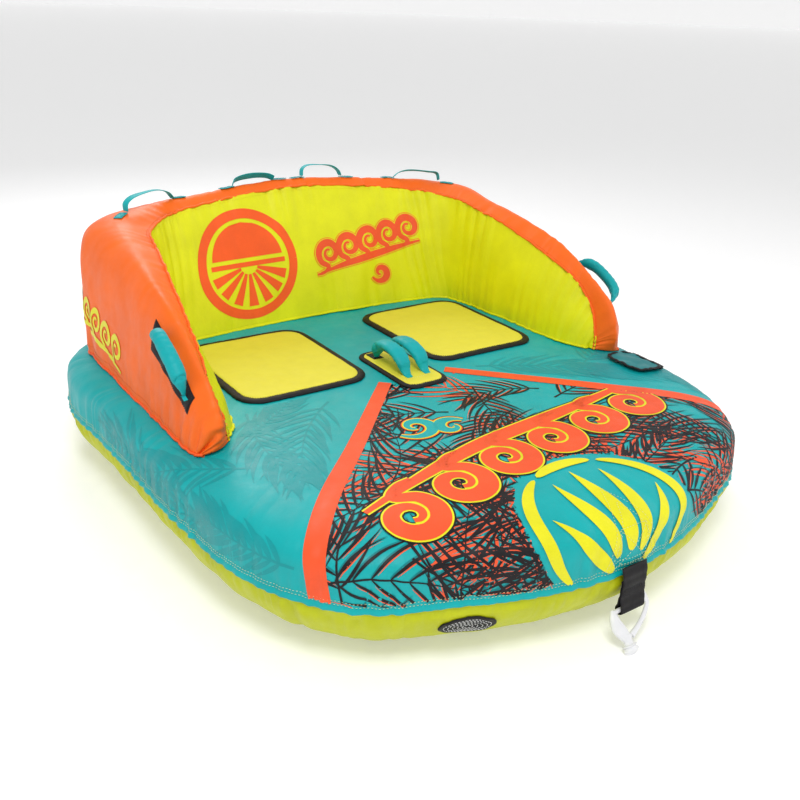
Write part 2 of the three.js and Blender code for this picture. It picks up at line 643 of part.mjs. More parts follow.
const SIDE_PATCH = { rear: 118, front: -112, w0: 0.5, w1: 0.605, thick: 2 };
const SIDE_GRIP = {
  foot: [5, 4], middle: [18, 17], rise: { left: 56, right: 46 }, lift: 8, rest: { left: 62, right: 14 },
};
for (const [side, sign] of [['left', -1], ['right', 1]]) {
  const range = sign > 0 ? [0.7, 0.99] : [0.01, 0.3];
  const tAt = (y) => coverT(SIDE_PATCH.w0, 'y', y, ...range);
  const [t0, t1] = [tAt(SIDE_PATCH.rear), tAt(SIDE_PATCH.front)].sort((a, b) => a - b);
  const { w0, w1 } = SIDE_PATCH;
  const outline = refined([[t0, w0], [t1, w0], [t1, w1], [t0, w1]], 0.035);
  add(`side_patch_${side}`, plate(COVER, outline, SEW_LIFT, SIDE_PATCH.thick, [0.5, 1]), BLACK);
  const w = (w0 + w1) / 2;
  const feet = [0.14, 0.86].map((f) => COVER.lifted(lerp(t0, t1, f), w, SIDE_GRIP.lift));
  const line = feet[1].clone().sub(feet[0]).normalize();
  const out = COVER.normal(lerp(t0, t1, 0.5), w);
  out.addScaledVector(line, -out.dot(line)).normalize();
  const upward = tilted(out, line, 1).z > out.z ? 1 : -1;
  const leant = tilted(out, line, upward * SIDE_GRIP.rest[side]);
  const points = arch(feet[0], feet[1], leant, SIDE_GRIP.rise[side], 0.24);
  const across = line.clone().cross(leant).normalize();
  add(`side_grip_${side}`, gripLoop(points, across, SIDE_GRIP.foot, SIDE_GRIP.middle, 8, 12, 0.25), WEB);
}

// ---------------------------------------------------------------- valves

// A two-way inflation valve: welded body, screwed-in insert, membrane under it, and a cap with a grip bar.
function valve(prefix, frame) {
  const { flange, neck, insert, throat, depth, cap } = VALVE;
  const body = [
    [insert + CLEAR, -depth], [neck, -depth], [neck, CLEAR], [flange, CLEAR], [flange, 2.2], [insert + CLEAR, 2.2],
  ];
  const core = [[throat, -depth + 4], [insert, -depth + 4], [insert, 2.2], [throat, 2.2]];
  const lid = [[0, -6], [throat - CLEAR, -6], [throat - CLEAR, 2.7], [cap, 2.7], [cap, 4.9], [0, 4.9]];
  const put = (name, geometry, mat) => add(`${prefix}_${name}`, geometry.applyMatrix4(frame), mat);
  put('body', lathe([...body, body[0]]), WHITE);
  put('insert', lathe([...core, core[0]]), WHITE);
  const [under, over] = [-depth + 1, -depth + 3.4];
  put('membrane', lathe([[0, under], [insert - 1, under], [insert - 1, over], [0, over]]), BLACK);
  const bar = new THREE.BoxGeometry(26, 5, 3).translate(0, 0, 6);
  put('cap', fromSolid(solid(lathe(lid)).add(solid(bar))), WHITE);
}
valve('base_valve', valveAt);
valve('backrest_valve', backValveAt);

// The fabric cover over the deck valve, hinged on the hem along its outboard edge.
const flapOutline = refined(roundedRect(FLAP.inner, FLAP.hinge - 2, FLAP.front, FLAP.rear, 30), 40);
add('valve_flap', plate(DECK, flapOutline, FLAP.lift, FLAP.thick, [0.5, 1]), TEAL);
const HEM = { wide: 9, inset: 12 };
const [hemFront, hemRear, hemOut] = [FLAP.front + HEM.inset, FLAP.rear - HEM.inset, FLAP.hinge + HEM.wide];
const hem = refined([[FLAP.hinge, hemFront], [hemOut, hemFront], [hemOut, hemRear], [FLAP.hinge, hemRear]], 40);
add('valve_flap_hem', plate(DECK, hem, SEW_LIFT, FLAP.lift + FLAP.thick - SEW_LIFT, [1]), BLACK);

// ---------------------------------------------------------------- vent, tow point and zips

const ventOuter = ellipse(VENT.share, VENT.z, VENT_SPAN, VENT.high, 20);
const ventInner = ellipse(VENT.share, VENT.z, VENT_SPAN * 0.8, VENT.high * 0.74, 20);
const ventMesh = ellipse(VENT.share, VENT.z, VENT_SPAN * 0.79, VENT.high * 0.72, 20);
add('drain_vent_mesh', plate(SIDE, ventMesh, SEW_LIFT, 1.2, [0.5, 1]), BLACK);
add('drain_vent_binding', band(SIDE, ventOuter, ventInner, SEW_LIFT, 2), BLACK);

const HALF_STRAP = STRAP.width / 2;
function box(x0, x1, y0, y1, z0, z1) {
  const middle = [(x0 + x1) / 2, (y0 + y1) / 2, (z0 + z1) / 2];
  return new THREE.BoxGeometry(x1 - x0, y1 - y0, z1 - z0).translate(...middle);
}
const ANCHOR = { y0: STRAP.y + 5, y1: STRAP.y + 8, z0: STRAP.top - 16, z1: STRAP.top + 1 };
add('tow_anchor', box(-HALF_STRAP, HALF_STRAP, ANCHOR.y0, ANCHOR.y1, ANCHOR.z0, ANCHOR.z1), BLACK);

// The strap is folded into an eye: two plies that part round the hook's bar.
function towStrap() {
  const outside = new THREE.Shape();
  const r = STRAP.eyeRadius + STRAP.ply;
  outside.moveTo(-STRAP.ply, STRAP.top);
  outside.lineTo(-STRAP.ply, STRAP.eye + 22);
  outside.lineTo(-r, STRAP.eye);
  outside.absarc(0, STRAP.eye, r, Math.PI, 2 * Math.PI, false);
  outside.lineTo(STRAP.ply, STRAP.eye + 22);
  outside.lineTo(STRAP.ply, STRAP.top);
  outside.closePath();
  const eye = new THREE.Path();
  eye.absarc(0, STRAP.eye, STRAP.eyeRadius, 0, 2 * Math.PI, true);
  outside.holes.push(eye);
  const shape = new THREE.ExtrudeGeometry(outside, { depth: STRAP.width, bevelEnabled: false, curveSegments: 8 });
  const turned = new THREE.Matrix4().makeBasis(V(0, 1, 0), V(0, 0, 1), V(1, 0, 0));
  return shape.applyMatrix4(turned).translate(-HALF_STRAP, STRAP.y, 0);
}
add('tow_strap', towStrap(), BLACK);

// The quick hook: a bar through the strap's eye, two arms that meet in a throat, and a rounded end.
function quickHook() {
  const rod = (points, radius, sides = 8) => {
    const curve = new THREE.CatmullRomCurve3(points.map(([x, z]) => V(x, 0, z)));
    const loops = spaced(points.length + 1).map((u) => {
      const at = curve.getPoint(u);
      const across = curve.getTangent(u).cross(V(0, 1, 0)).normalize();
      return spaced(sides, 0, 2 * Math.PI).slice(0, -1).map((a) => at.clone()
        .addScaledVector(across, radius * Math.cos(a)).addScaledVector(V(0, 1, 0), radius * Math.sin(a)));
    });
    return solid(loft(loops));
  };
  const knob = solid(new THREE.SphereGeometry(15, 10, 7).scale(1.15, 0.85, 0.75).translate(-43, 0, -86));
  const left = rod([[-HOOK.half, 4], [-HOOK.half - 6, -22], [-48, -48], [-42, -62]], 9);
  const right = rod([[HOOK.half, 22], [HOOK.half, -10], [16, -37], [-30, -62]], 5);
  const bar = rod([[-HOOK.half, 0], [0, 0], [HOOK.half, 0]], HOOK.bar);
  const neck = rod([[-38, -56], [-42, -70], [-43, -84]], 9);
  return fromSolid([left, right, neck, knob].reduce((all, piece) => all.add(piece), bar));
}
const hook = add('quick_hook', quickHook(), WHITE);
hook.rotation.set(THREE.MathUtils.degToRad(-HOOK.pitch), 0, 0);
hook.position.set(0, STRAP.y, STRAP.eye);

// Webbing that carries the pull under the bladder, from the tow point back to the stern.
add('tow_harness', box(-25, 25, -690, 700, GROUND_Z + SKIN + 1, GROUND_Z + SKIN + 3.5), BLACK);

// Reinforcing patch on the top cover where the strap's load is sewn in.
const NOSE_CURVE = 1600;        // the nose falls back by x squared over this
const nosePoint = (x, z) => {
  const k = (1 - ((z - SEAM_Z) / (DECK_Z - SEAM_Z)) ** DECK_POWER) ** (1 / DECK_POWER);
  return V(x * k, (OUTLINE[0].y + x * x / NOSE_CURVE) * k, z);
};
const NOSE_TOP = surface(nosePoint);
const PATCH = { lift: 5.2, thick: 1.6, rows: [[272, 70], [255, 82], [232, 94], [195, 106], [155, 112]] };
const patchRows = PATCH.rows.map(([z, half]) => spaced(4, -half, half).map((x) => NOSE_TOP.lifted(x, z, PATCH.lift)));
add('tow_patch', sheet(patchRows, PATCH.thick), TEAL);

// A zip: its tape with the teeth between, and the slider near its right end.
function zip(name, y, z) {
  const { half, tape, thick, slider } = ZIP;
  add(name, box(-half, half, y, y + thick, z - tape / 2, z + tape / 2), BLACK);
  const face = y + thick;
  const [left, right] = [half - slider.from, half - slider.to];
  add(`${name}_slider`, box(left, right, face + CLEAR, face + slider.deep, z - slider.below, z + slider.above), WHITE);
}
zip('base_zip', STERN.rear * BASE_ZIP.scale + BASE_ZIP.gap, BASE_ZIP.z);
zip('backrest_zip', BACK_ZIP.y, BACK_ZIP.z);

// The origin is under the middle of the whole object, on the surface that it stands on.
part.updateMatrixWorld(true);
const bounds = new THREE.Box3().setFromObject(part, true);
part.position.set(-(bounds.min.x + bounds.max.x) / 2, -(bounds.min.y + bounds.max.y) / 2, -bounds.min.z);

export default part;
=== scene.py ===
"""The looks of the two-seat towable tube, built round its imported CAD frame. Metres, +Z up.

The tow point faces -Y and the backrest closes the +Y end. Every soft surface is a smooth function of two
coordinates, with its folds added along the normal, so that welts, stitches and print lie exactly on it.
"""
import json
import math

import bmesh
import bpy
import numpy as np
from mathutils import Matrix, Vector


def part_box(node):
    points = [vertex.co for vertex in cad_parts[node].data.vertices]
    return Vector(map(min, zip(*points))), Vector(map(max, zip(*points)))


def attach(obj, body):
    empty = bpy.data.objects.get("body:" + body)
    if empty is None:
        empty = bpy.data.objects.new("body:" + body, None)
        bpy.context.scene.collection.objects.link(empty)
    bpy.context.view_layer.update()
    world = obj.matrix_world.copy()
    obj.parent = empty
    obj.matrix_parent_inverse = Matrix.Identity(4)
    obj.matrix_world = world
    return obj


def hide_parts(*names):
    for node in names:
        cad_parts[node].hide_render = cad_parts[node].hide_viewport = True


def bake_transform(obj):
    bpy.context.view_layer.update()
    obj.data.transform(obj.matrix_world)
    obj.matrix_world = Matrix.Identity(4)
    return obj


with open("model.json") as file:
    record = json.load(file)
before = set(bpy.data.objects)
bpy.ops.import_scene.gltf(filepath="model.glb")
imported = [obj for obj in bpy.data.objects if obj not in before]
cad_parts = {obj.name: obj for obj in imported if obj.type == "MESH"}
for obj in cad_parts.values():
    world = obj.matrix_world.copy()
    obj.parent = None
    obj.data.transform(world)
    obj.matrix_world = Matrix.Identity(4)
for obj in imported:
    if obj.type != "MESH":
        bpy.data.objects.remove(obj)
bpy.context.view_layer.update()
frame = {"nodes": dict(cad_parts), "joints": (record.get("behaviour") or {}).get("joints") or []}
JOINTS = {joint["child"]: joint for joint in frame["joints"]}
MM = 0.001

# ------------------------------------------------------------------ places, from the frame

PAD_LOW, PAD_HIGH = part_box("seat_pad_left_binding")
PAD_MIDDLE_Y = 0.2425                       # middle of the seat pads in the outline's own coordinates
PAD_MIDDLE_X, PAD_CLEAR_X, PAD_CLEAR_Y = 0.306, 0.21, 0.245
SHIFT = np.array([0.0, (PAD_LOW.y + PAD_HIGH.y) / 2 - PAD_MIDDLE_Y, 0.030])
SEAM_Z = 0.139 + SHIFT[2]
DECK_Z = 0.283 + SHIFT[2]
DECK_POWER = 6.5                            # of the superellipse that the deck's section follows
MEAN_RADIUS = 0.86                          # the section is drawn at this radius and stretched to the outline
LAP = 0.010                                 # how far the printed cover laps down over the lower one
LAP_END = 0.0015                            # the turned edge below the lap

# Outline of the seam, right half, nose to stern, in mm before the shift. The stern's corner is an arc.
NOSE = [(0, -873), (215, -843), (425, -768), (585, -690), (692, -555), (748, -400), (772, -200), (784, 40),
        (794, 300)]
STERN_SIDE, STERN_REAR, STERN_CORNER = 807, 868, 325
BOTTOM = [(0.45, 0), (0.81, 0), (0.87, 8), (0.927, 38), (0.97, 80), (0.995, 120), (1.003, 159), (0.999, 167)]

# Backrest stations, right half, from the middle of the back to the front end of the arm, in mm before the
# shift: inner foot, inner top seam, crown, outer top, outer bulge and outer foot.
STATIONS = [
    ((0, 560), (0, 683, 687), (0, 724, 705), (0, 772, 660), (0, 826, 440), (0, 828)),
    ((150, 555), (155, 680, 680), (158, 722, 699), (160, 771, 655), (165, 826, 438), (165, 828)),
    ((300, 545), (300, 672, 665), (305, 714, 686), (318, 770, 647), (330, 826, 436), (330, 828)),
    ((430, 532), (408, 652, 652), (438, 698, 675), (482, 758, 636), (505, 818, 434), (508, 820)),
    ((496, 514), (480, 604, 643), (545, 668, 664), (630, 735, 624), (652, 765, 434), (650, 762)),
    ((516, 480), (540, 528, 630), (620, 582, 652), (692, 632, 612), (714, 645, 432), (712, 645)),
    ((530, 420), (558, 435, 612), (632, 464, 630), (690, 484, 590), (718, 497, 426), (720, 500)),
    ((538, 325), (576, 330, 590), (642, 340, 610), (682, 345, 572), (711, 350, 414), (720, 352)),
    ((545, 220), (594, 215, 556), (649, 218, 586), (684, 220, 549), (709, 222, 400), (717, 224)),
    ((550, 110), (610, 105, 517), (652, 105, 556), (685, 108, 519), (708, 110, 385), (714, 112)),
    ((560, 0), (627, -8, 467), (653, -8, 503), (687, -8, 462), (707, -5, 355), (713, 0)),
    ((580, -72), (630, -84, 394), (652, -122, 434), (687, -104, 405), (704, -92, 330), (709, -88)),
    ((606, -108), (621, -120, 321), (650, -168, 372), (684, -152, 356), (700, -142, 302), (705, -138)),
]
NOSE_BULGE = (652, -184, 322)
TOE_INNER, TOE_OUTER, TOE_ROUND = (609, -128), (690, -156), 16
FOOT_LIFT = 0.0035
WEB_HALF_WIDTH, WEB_HALF_THICK, WEB_STITCH_INSET = 0.0128, 0.0013, 0.0095


# ------------------------------------------------------------------ curves and folds

def catmull(points, share, closed=False, centripetal=True):
    """Points of a Catmull-Rom curve at each share of its spans. `points` may be a stack of whole arrays."""
    p = np.asarray(points, float)
    n = len(p)
    spans = n if closed else n - 1
    u = np.clip(np.atleast_1d(share), 0, 1) * spans
    i = np.minimum(u.astype(int), spans - 1)
    f = (u - i).reshape((-1,) + (1,) * (p.ndim - 1))
    if closed:
        p0, p1, p2, p3 = (p[(i + k) % n] for k in (-1, 0, 1, 2))
    else:
        long = np.concatenate([[2 * p[0] - p[1]], p, [2 * p[-1] - p[-2]]])
        p0, p1, p2, p3 = (long[i + k] for k in range(4))
    if centripetal:
        gaps = [np.maximum(np.linalg.norm(b - a, axis=-1, keepdims=True), 1e-9) ** 0.5
                for a, b in ((p0, p1), (p1, p2), (p2, p3))]
        d0, d1, d2 = gaps
        m1 = ((p1 - p0) / d0 - (p2 - p0) / (d0 + d1) + (p2 - p1) / d1) * d1
        m2 = ((p2 - p1) / d1 - (p3 - p1) / (d1 + d2) + (p3 - p2) / d2) * d1
    else:
        m1, m2 = (p2 - p0) / 2, (p3 - p1) / 2
    return ((2 * p1 - 2 * p2 + m1 + m2) * f ** 3 + (3 * p2 - 3 * p1 - 2 * m1 - m2) * f ** 2 + m1 * f + p1)


def arc_lengths(points):
    """Distance along a polyline up to each of its points."""
    steps = np.linalg.norm(np.diff(points, axis=0), axis=1)
    return np.concatenate([[0], np.cumsum(steps)])


def resampled(points, count):
    """The same line with `count` evenly spaced points."""
    points = np.asarray(points, float)
    along = arc_lengths(points)
    at = np.linspace(0, along[-1], count)
    return np.stack([np.interp(at, along, points[:, k]) for k in range(points.shape[1])], 1)


def wander(s, seed, shortest, longest, count=9):
    """A smooth random line between about -1 and 1, made of waves between two lengths."""
    rng = np.random.default_rng(seed)
    lengths = shortest * (longest / shortest) ** rng.random(count)
    phases = rng.random(count) * 2 * np.pi
    total = sum(np.sin(2 * np.pi * s / length + phase) for length, phase in zip(lengths, phases))
    return total / math.sqrt(count / 2) / 1.6


def gathers(s, d, seed, shortest, longest, depth, count=5):
    """Gathered folds beside a seam: s runs along it and d is the distance from it. Valleys are sharp, and
    long folds reach further than short ones."""
    rng = np.random.default_rng(seed)
    total = 0
    for k in range(count):
        length = shortest * (longest / shortest) ** (k / max(count - 1, 1))
        slip = wander(s, seed * 31 + k, length * 2.5, length * 9) * length * 0.9
        ridge = np.abs(np.sin(np.pi * (s + slip) / length + rng.random() * 6)) - 0.64
        strength = 0.5 + 0.5 * np.clip(wander(s, seed * 57 + k, length * 4, length * 14), -1, 1)
        fade = np.exp(-np.maximum(d, 0) / (length * 1.3))
        total = total + ridge * strength * fade * (length / longest) ** 0.6
    return depth * total


def turns(count):
    """Angles evenly round a circle."""
    return np.linspace(0, 2 * np.pi, count, endpoint=False)


def unit(v):
    return v / np.maximum(np.linalg.norm(v, axis=-1, keepdims=True), 1e-12)


def smoothstep(x, low, high):
    t = np.clip((x - low) / (high - low), 0, 1)
    return t * t * (3 - 2 * t)


# ------------------------------------------------------------------ meshes

def grid_faces(rows, columns, wrap=False, first=0):
    """Quads between neighbouring rows of a grid of vertices, numbered row by row."""
    across = np.arange(columns if wrap else columns - 1)
    after = (across + 1) % columns
    faces = []
    for i in range(rows - 1):
        a, b = first + i * columns, first + (i + 1) * columns
        faces.append(np.stack([a + across, a + after, b + after, b + across], 1))
    return np.concatenate(faces)


def fan_faces(apex, first, count):
    """Triangles from one vertex to the closed row of `count` vertices that starts at `first`."""
    return [[apex, first + j, first + (j + 1) % count] for j in range(count)]


def linked(name, data):
    """A new object in the scene for a mesh, a light or a camera."""
    made = bpy.data.objects.new(name, data)
    bpy.context.scene.collection.objects.link(made)
    return made


def shade_smooth(made):
    made.data.polygons.foreach_set("use_smooth", [True] * len(made.data.polygons))


def new_object(name, vertices, faces, material, uv=None, body="tube", slot=None, replaces=()):
    """A mesh object that rides on a body, or on none yet if body is None. uv gives one coordinate pair for each
    vertex, in metres."""
    mesh = bpy.data.meshes.new(name)
    points = np.asarray(vertices, float).reshape(-1, 3).tolist()
    mesh.from_pydata(points, [], [list(map(int, face)) for face in faces])
    mesh.update()
    if uv is not None:
        layer = mesh.uv_layers.new(name="UVMap")
        corner = np.empty(len(mesh.loops), np.int32)
        mesh.loops.foreach_get("vertex_index", corner)
        layer.data.foreach_set("uv", np.asarray(uv, np.float32).reshape(-1, 2)[corner].ravel())
    mesh.materials.append(material)
    made = linked(name, mesh)
    shade_smooth(made)
    if body:
        finish_piece(made, body, slot, replaces)
    return made


def finish_piece(made, body, slot=None, replaces=()):
    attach(made, body)
    if replaces:
        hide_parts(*replaces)
    return made


def finish_blend(made, replaces=()):
    """Hides the parts that a piece replaces and bakes its placing into its mesh, attaching it to no body."""
    if replaces:
        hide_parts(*replaces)
    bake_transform(made)


def tidy_normals(made, merge=0.0):
    """Makes all faces point the same way out, after merging points closer than `merge`."""
    bm = bmesh.new()
    bm.from_mesh(made.data)
    if merge:
        bmesh.ops.remove_doubles(bm, verts=bm.verts, dist=merge)
    bmesh.ops.recalc_face_normals(bm, faces=bm.faces)
    bm.to_mesh(made.data)
    bm.free()
    return made


def apply_modifier(made, kind, **settings):
    """Adds a modifier, sets it and applies it to the mesh."""
    modifier = made.modifiers.new(kind.title(), kind)
    for key, value in settings.items():
        setattr(modifier, key, value)
    graph = bpy.context.evaluated_depsgraph_get()
    done = bpy.data.meshes.new_from_object(made.evaluated_get(graph))
    made.modifiers.clear()
    old = made.data
    made.data = done
    bpy.data.meshes.remove(old)
    return made


def frames_along(points, up=None, across=None):
    """Tangent, across and out vectors at each point of a line."""
    tangent = unit(np.gradient(points, axis=0))
    if across is not None:
        side = np.broadcast_to(np.asarray(across, float), points.shape)
        out = unit(np.cross(tangent, side))
        return tangent, unit(np.cross(out, tangent)), out
    out = np.broadcast_to(np.asarray(up, float), points.shape)
    side = unit(np.cross(out, tangent))
    return tangent, side, unit(np.cross(tangent, side))


def swept(name, points, sections, material, closed=False, **place):
    """A solid swept along a line. `sections` holds for each point its ring of points, all of one length."""
    rows, ring = sections.shape[:2]
    vertices = sections.reshape(-1, 3)
    faces = grid_faces(rows, ring, wrap=True).tolist()
    if closed:
        last = (rows - 1) * ring
        faces += [[last + j, last + (j + 1) % ring, (j + 1) % ring, j] for j in range(ring)]
    else:
        faces.append(list(range(ring))[::-1])
        faces.append([(rows - 1) * ring + j for j in range(ring)])
    along = arc_lengths(points)
    around = np.linspace(0, 1, ring, endpoint=False) * arc_lengths(sections[0])[-1]
    uv = np.stack(np.meshgrid(along, around, indexing="ij"), -1)
    return tidy_normals(new_object(name, vertices, faces, material, uv=uv, **place))


def tube(name, points, radius, material, sides=10, **place):
    """A round piping along a line."""
    _, side, out = frames_along(points, up=(0, 0, 1))
    angle = turns(sides)[None, :, None]
    rings = points[:, None] + radius * (np.cos(angle) * side[:, None] + np.sin(angle) * out[:, None])
    return swept(name, points, rings, material, **place)


def bound_edge(name, points, normals, half_width, half_height, pull=1.0, sides=12, **place):
    """A rounded binding sewn along a closed line on a surface. Gives the direction across it."""
    side = unit(np.cross(unit(np.roll(points, -1, 0) - np.roll(points, 1, 0)), normals))
    angle = turns(sides)[None, :, None]
    rings = points[:, None] + pull * (half_width * np.cos(angle) * side[:, None]
                                      + half_height * np.sin(angle) * normals[:, None])
    swept(name, points, rings, BINDING, closed=True, slot="black_webbing", **place)
    return side


def webbing(name, points, side, out, half_width, half_thick, material, **place):
    """Flat woven webbing along a line, with rounded selvedges. side and out are given at each point."""
    angle = turns(16)
    across = np.sign(np.cos(angle)) * np.abs(np.cos(angle)) ** 0.35
    height = np.sign(np.sin(angle)) * np.abs(np.sin(angle)) ** 0.8 * (1 + 0.15 * np.abs(across) ** 8)
    half_width = np.broadcast_to(half_width, len(points))[:, None, None]
    half_thick = np.broadcast_to(half_thick, len(points))[:, None, None]
    rings = (points[:, None] + half_width * across[None, :, None] * side[:, None]
             + half_thick * height[None, :, None] * out[:, None])
    return swept(name, points, rings, material, **place)


def stitches(name, lines, material, length=0.0042, gap=0.0026, radius=0.0006, body="tube", slot=None):
    """Thread along lines on a surface. Each line is (points, normals), and each stitch a small spindle."""
    lift = 0.0004

    def sampled(where, along, values):
        return np.stack([np.interp(where, along, values[:, k]) for k in range(3)], 1)
    vertices, faces = [], []
    for points, normals in lines:
        along = arc_lengths(points)
        count = max(int(along[-1] / (length + gap)), 1)
        middle = (np.arange(count) + 0.5) * along[-1] / count
        a, b = (sampled(middle + length / 2 * way, along, points) for way in (-1, 1))
        out = unit(sampled(middle, along, np.broadcast_to(normals, points.shape)))
        side = unit(np.cross(b - a, out))
        for n in range(count):
            first = len(vertices)
            ends = (a[n] - out[n] * radius * 0.6, b[n] - out[n] * radius * 0.6)
            for share in (0.22, 0.78):
                centre = a[n] + (b[n] - a[n]) * share + out[n] * lift
                vertices += [centre + way * radius for way in (side[n], out[n], -side[n], -out[n])]
            vertices += ends
            for j in range(4):
                k = (j + 1) % 4
                faces += [(first + j, first + k, first + 4 + k, first + 4 + j),
                          (first + 8, first + k, first + j), (first + 9, first + 4 + j, first + 4 + k)]
    return new_object(name, vertices, faces, material, body=body, slot=slot)


# ------------------------------------------------------------------ materials

def put(node, **values):
    """Sets a node's sockets by name, with underscores for the spaces."""
    for name, value in values.items():
        node.inputs[name.replace("_", " ")].default_value = value
    return node


def noise(tree, coords, scale, detail=4.0, rough=0.55):
    texture = put(tree.nodes.new("ShaderNodeTexNoise"), Scale=scale, Detail=detail, Roughness=rough)
    tree.links.new(coords, texture.inputs["Vector"])
    return texture.outputs["Fac"]


def waves(tree, coords, axis, period):
    """Bands of one period across one axis."""
    texture = put(tree.nodes.new("ShaderNodeTexWave"), Scale=math.pi / 10 / period)
    texture.bands_direction = axis
    tree.links.new(coords, texture.inputs["Vector"])
    return texture.outputs["Fac"]


def math_node(tree, operation, a, b):
    node = tree.nodes.new("ShaderNodeMath")
    node.operation = operation
    for socket, value in zip(node.inputs, (a, b)):
        if isinstance(value, (int, float)):
            socket.default_value = value
        else:
            tree.links.new(value, socket)
    return node.outputs[0]


def uneven(tree, socket, value, dark, light):
    """Feeds a socket with a colour that runs from dark to light over the middle of a noise's range."""
    ramp = tree.nodes.new("ShaderNodeValToRGB")
    for element, position, color in zip(ramp.color_ramp.elements, (0.3, 0.7), (dark, light)):
        element.position = position
        element.color = (*color, 1)
    tree.links.new(value, ramp.inputs["Fac"])
    tree.links.new(ramp.outputs["Color"], socket)


def bumped(tree, height, strength, distance, under=None):
    """The normal of a bump over a height, on top of another normal."""
    node = put(tree.nodes.new("ShaderNodeBump"), Strength=strength, Distance=distance)
    tree.links.new(height, node.inputs["Height"])
    if under:
        tree.links.new(under, node.inputs["Normal"])
    return node.outputs["Normal"]


def new_material(name):
    """A material, its node tree, its shader and the object's own coordinates."""
    material = bpy.data.materials.new(name)
    material.use_nodes = True
    tree = material.node_tree
    return material, tree, tree.nodes["Principled BSDF"], tree.nodes.new("ShaderNodeTexCoord").outputs


def shade(color, factor):
    return tuple(min(c * factor, 1.0) for c in color)


def cloth(name, color, thread=0.0011, use_uv=True, roughness=0.52, sheen=0.02, weave=0.25, crease=0.35):
    """Woven fabric: over-and-under threads, soft creases, and small changes of colour and gloss."""
    material, tree, shader, places = new_material(name)
    coords = places["Object"]
    threads = places["UV"] if use_uv else coords
    crossed = math_node(tree, "MULTIPLY", waves(tree, threads, "X", thread), waves(tree, threads, "Y", thread))
    if not use_uv:
        crossed = math_node(tree, "MAXIMUM", crossed, waves(tree, threads, "Z", thread))
    mixed = math_node(tree, "ADD", math_node(tree, "MULTIPLY", noise(tree, coords, 9.0, 5.0), 0.8),
                      math_node(tree, "MULTIPLY", noise(tree, coords, 260.0, 2.0), 0.2))
    uneven(tree, shader.inputs["Base Color"], mixed, shade(color, 0.88), shade(color, 1.072))
    uneven(tree, shader.inputs["Roughness"], noise(tree, coords, 30.0, 3.0), (roughness - 0.06,) * 3,
           (roughness + 0.08,) * 3)
    put(shader, Specular_IOR_Level=0.30, Sheen_Weight=sheen, Sheen_Roughness=0.4)
    fine = bumped(tree, crossed, weave, 0.0003)
    soft = bumped(tree, noise(tree, coords, 14.0, 5.0, 0.5), crease, 0.004, fine)
    tree.links.new(soft, shader.inputs["Normal"])
    return material


def plastic(name, color, roughness=0.38, grain=900.0, relief=0.06):
    """Moulded plastic with a fine grain and slightly uneven gloss."""
    material, tree, shader, places = new_material(name)
    coords = places["Object"]
    uneven(tree, shader.inputs["Base Color"], noise(tree, coords, 25.0), shade(color, 0.95), color)
    uneven(tree, shader.inputs["Roughness"], noise(tree, coords, 60.0), (roughness - 0.05,) * 3,
           (roughness + 0.08,) * 3)
    tree.links.new(bumped(tree, noise(tree, coords, grain, 2.0), relief, 0.0004), shader.inputs["Normal"])
    return material


def foam(name, color):
    """Closed-cell foam with a pebbled skin."""
    material = plastic(name, color, roughness=0.62, grain=700.0, relief=0.3)
    tree = material.node_tree
    cells = put(tree.nodes.new("ShaderNodeTexVoronoi"), Scale=420.0)
    tree.links.new(tree.nodes.new("ShaderNodeTexCoord").outputs["Object"], cells.inputs["Vector"])
    normal = tree.nodes["Principled BSDF"].inputs["Normal"]
    tree.links.new(bumped(tree, cells.outputs["Distance"], 0.25, 0.0006, normal.links[0].from_socket), normal)
    return material


TEAL, TEAL_SHADOW, TEAL_DEEP, LIME, ORANGE, YELLOW, CORAL, INK, PRINT_YELLOW, PRINT_ORANGE = (
    cloth(name, color, roughness=roughness, sheen=0.0) for name, color, roughness in (
        ("teal_nylon", (0.0, 0.40, 0.41), 0.42),
        ("teal_print_shadow", (0.0, 0.315, 0.33), 0.42),
        ("teal_print_deep", (0.0, 0.21, 0.225), 0.44),
        ("lime_nylon", (0.52, 0.56, 0.003), 0.44),
        ("orange_nylon", (1.0, 0.150, 0.008), 0.46),
        ("yellow_nylon", (0.76, 0.76, 0.004), 0.44),
        ("coral_print", (0.90, 0.095, 0.022), 0.44),
        ("black_print", (0.006, 0.004, 0.006), 0.5),
        ("yellow_print", (0.80, 0.76, 0.010), 0.44),
        ("orange_print", (0.95, 0.11, 0.012), 0.44)))
BLACK = (0.007, 0.0055, 0.007)
WEB_TEAL = cloth("teal_webbing", (0.0, 0.40, 0.42), thread=0.0016, roughness=0.55, weave=0.5, crease=0.15)
WEB_BLACK = cloth("black_webbing", BLACK, thread=0.0016, roughness=0.62, weave=0.5, crease=0.15)
GRIP_TEAL = cloth("teal_grip", (0.0, 0.38, 0.40), use_uv=False, roughness=0.5, weave=0.2)
BINDING = cloth("black_binding", BLACK, thread=0.0009, roughness=0.55, weave=0.4, crease=0.2)
PAD_YELLOW = foam("yellow_foam", (0.80, 0.72, 0.05))
NET = cloth("vent_net", (0.008, 0.008, 0.009), thread=0.0024, roughness=0.6, weave=1.0, crease=0.1)
THREAD_LIGHT, THREAD_WHITE, THREAD_BLACK, THREAD_TEAL, THREAD_ORANGE = (
    cloth(f"{name}_thread", color, thread=0.0006, use_uv=False, roughness=0.6) for name, color in (
        ("light", (0.75, 0.78, 0.42)), ("white", (0.82, 0.82, 0.80)), ("black", (0.03, 0.025, 0.03)),
        ("teal", (0.0, 0.26, 0.28)), ("orange", (0.75, 0.12, 0.02))))
WHITE_PLASTIC = plastic("white_nylon_plastic", (0.82, 0.82, 0.84))
VALVE_WHITE = plastic("valve_plastic", (0.74, 0.75, 0.76), roughness=0.45)
RUBBER = plastic("black_rubber", (0.02, 0.02, 0.02), roughness=0.6)
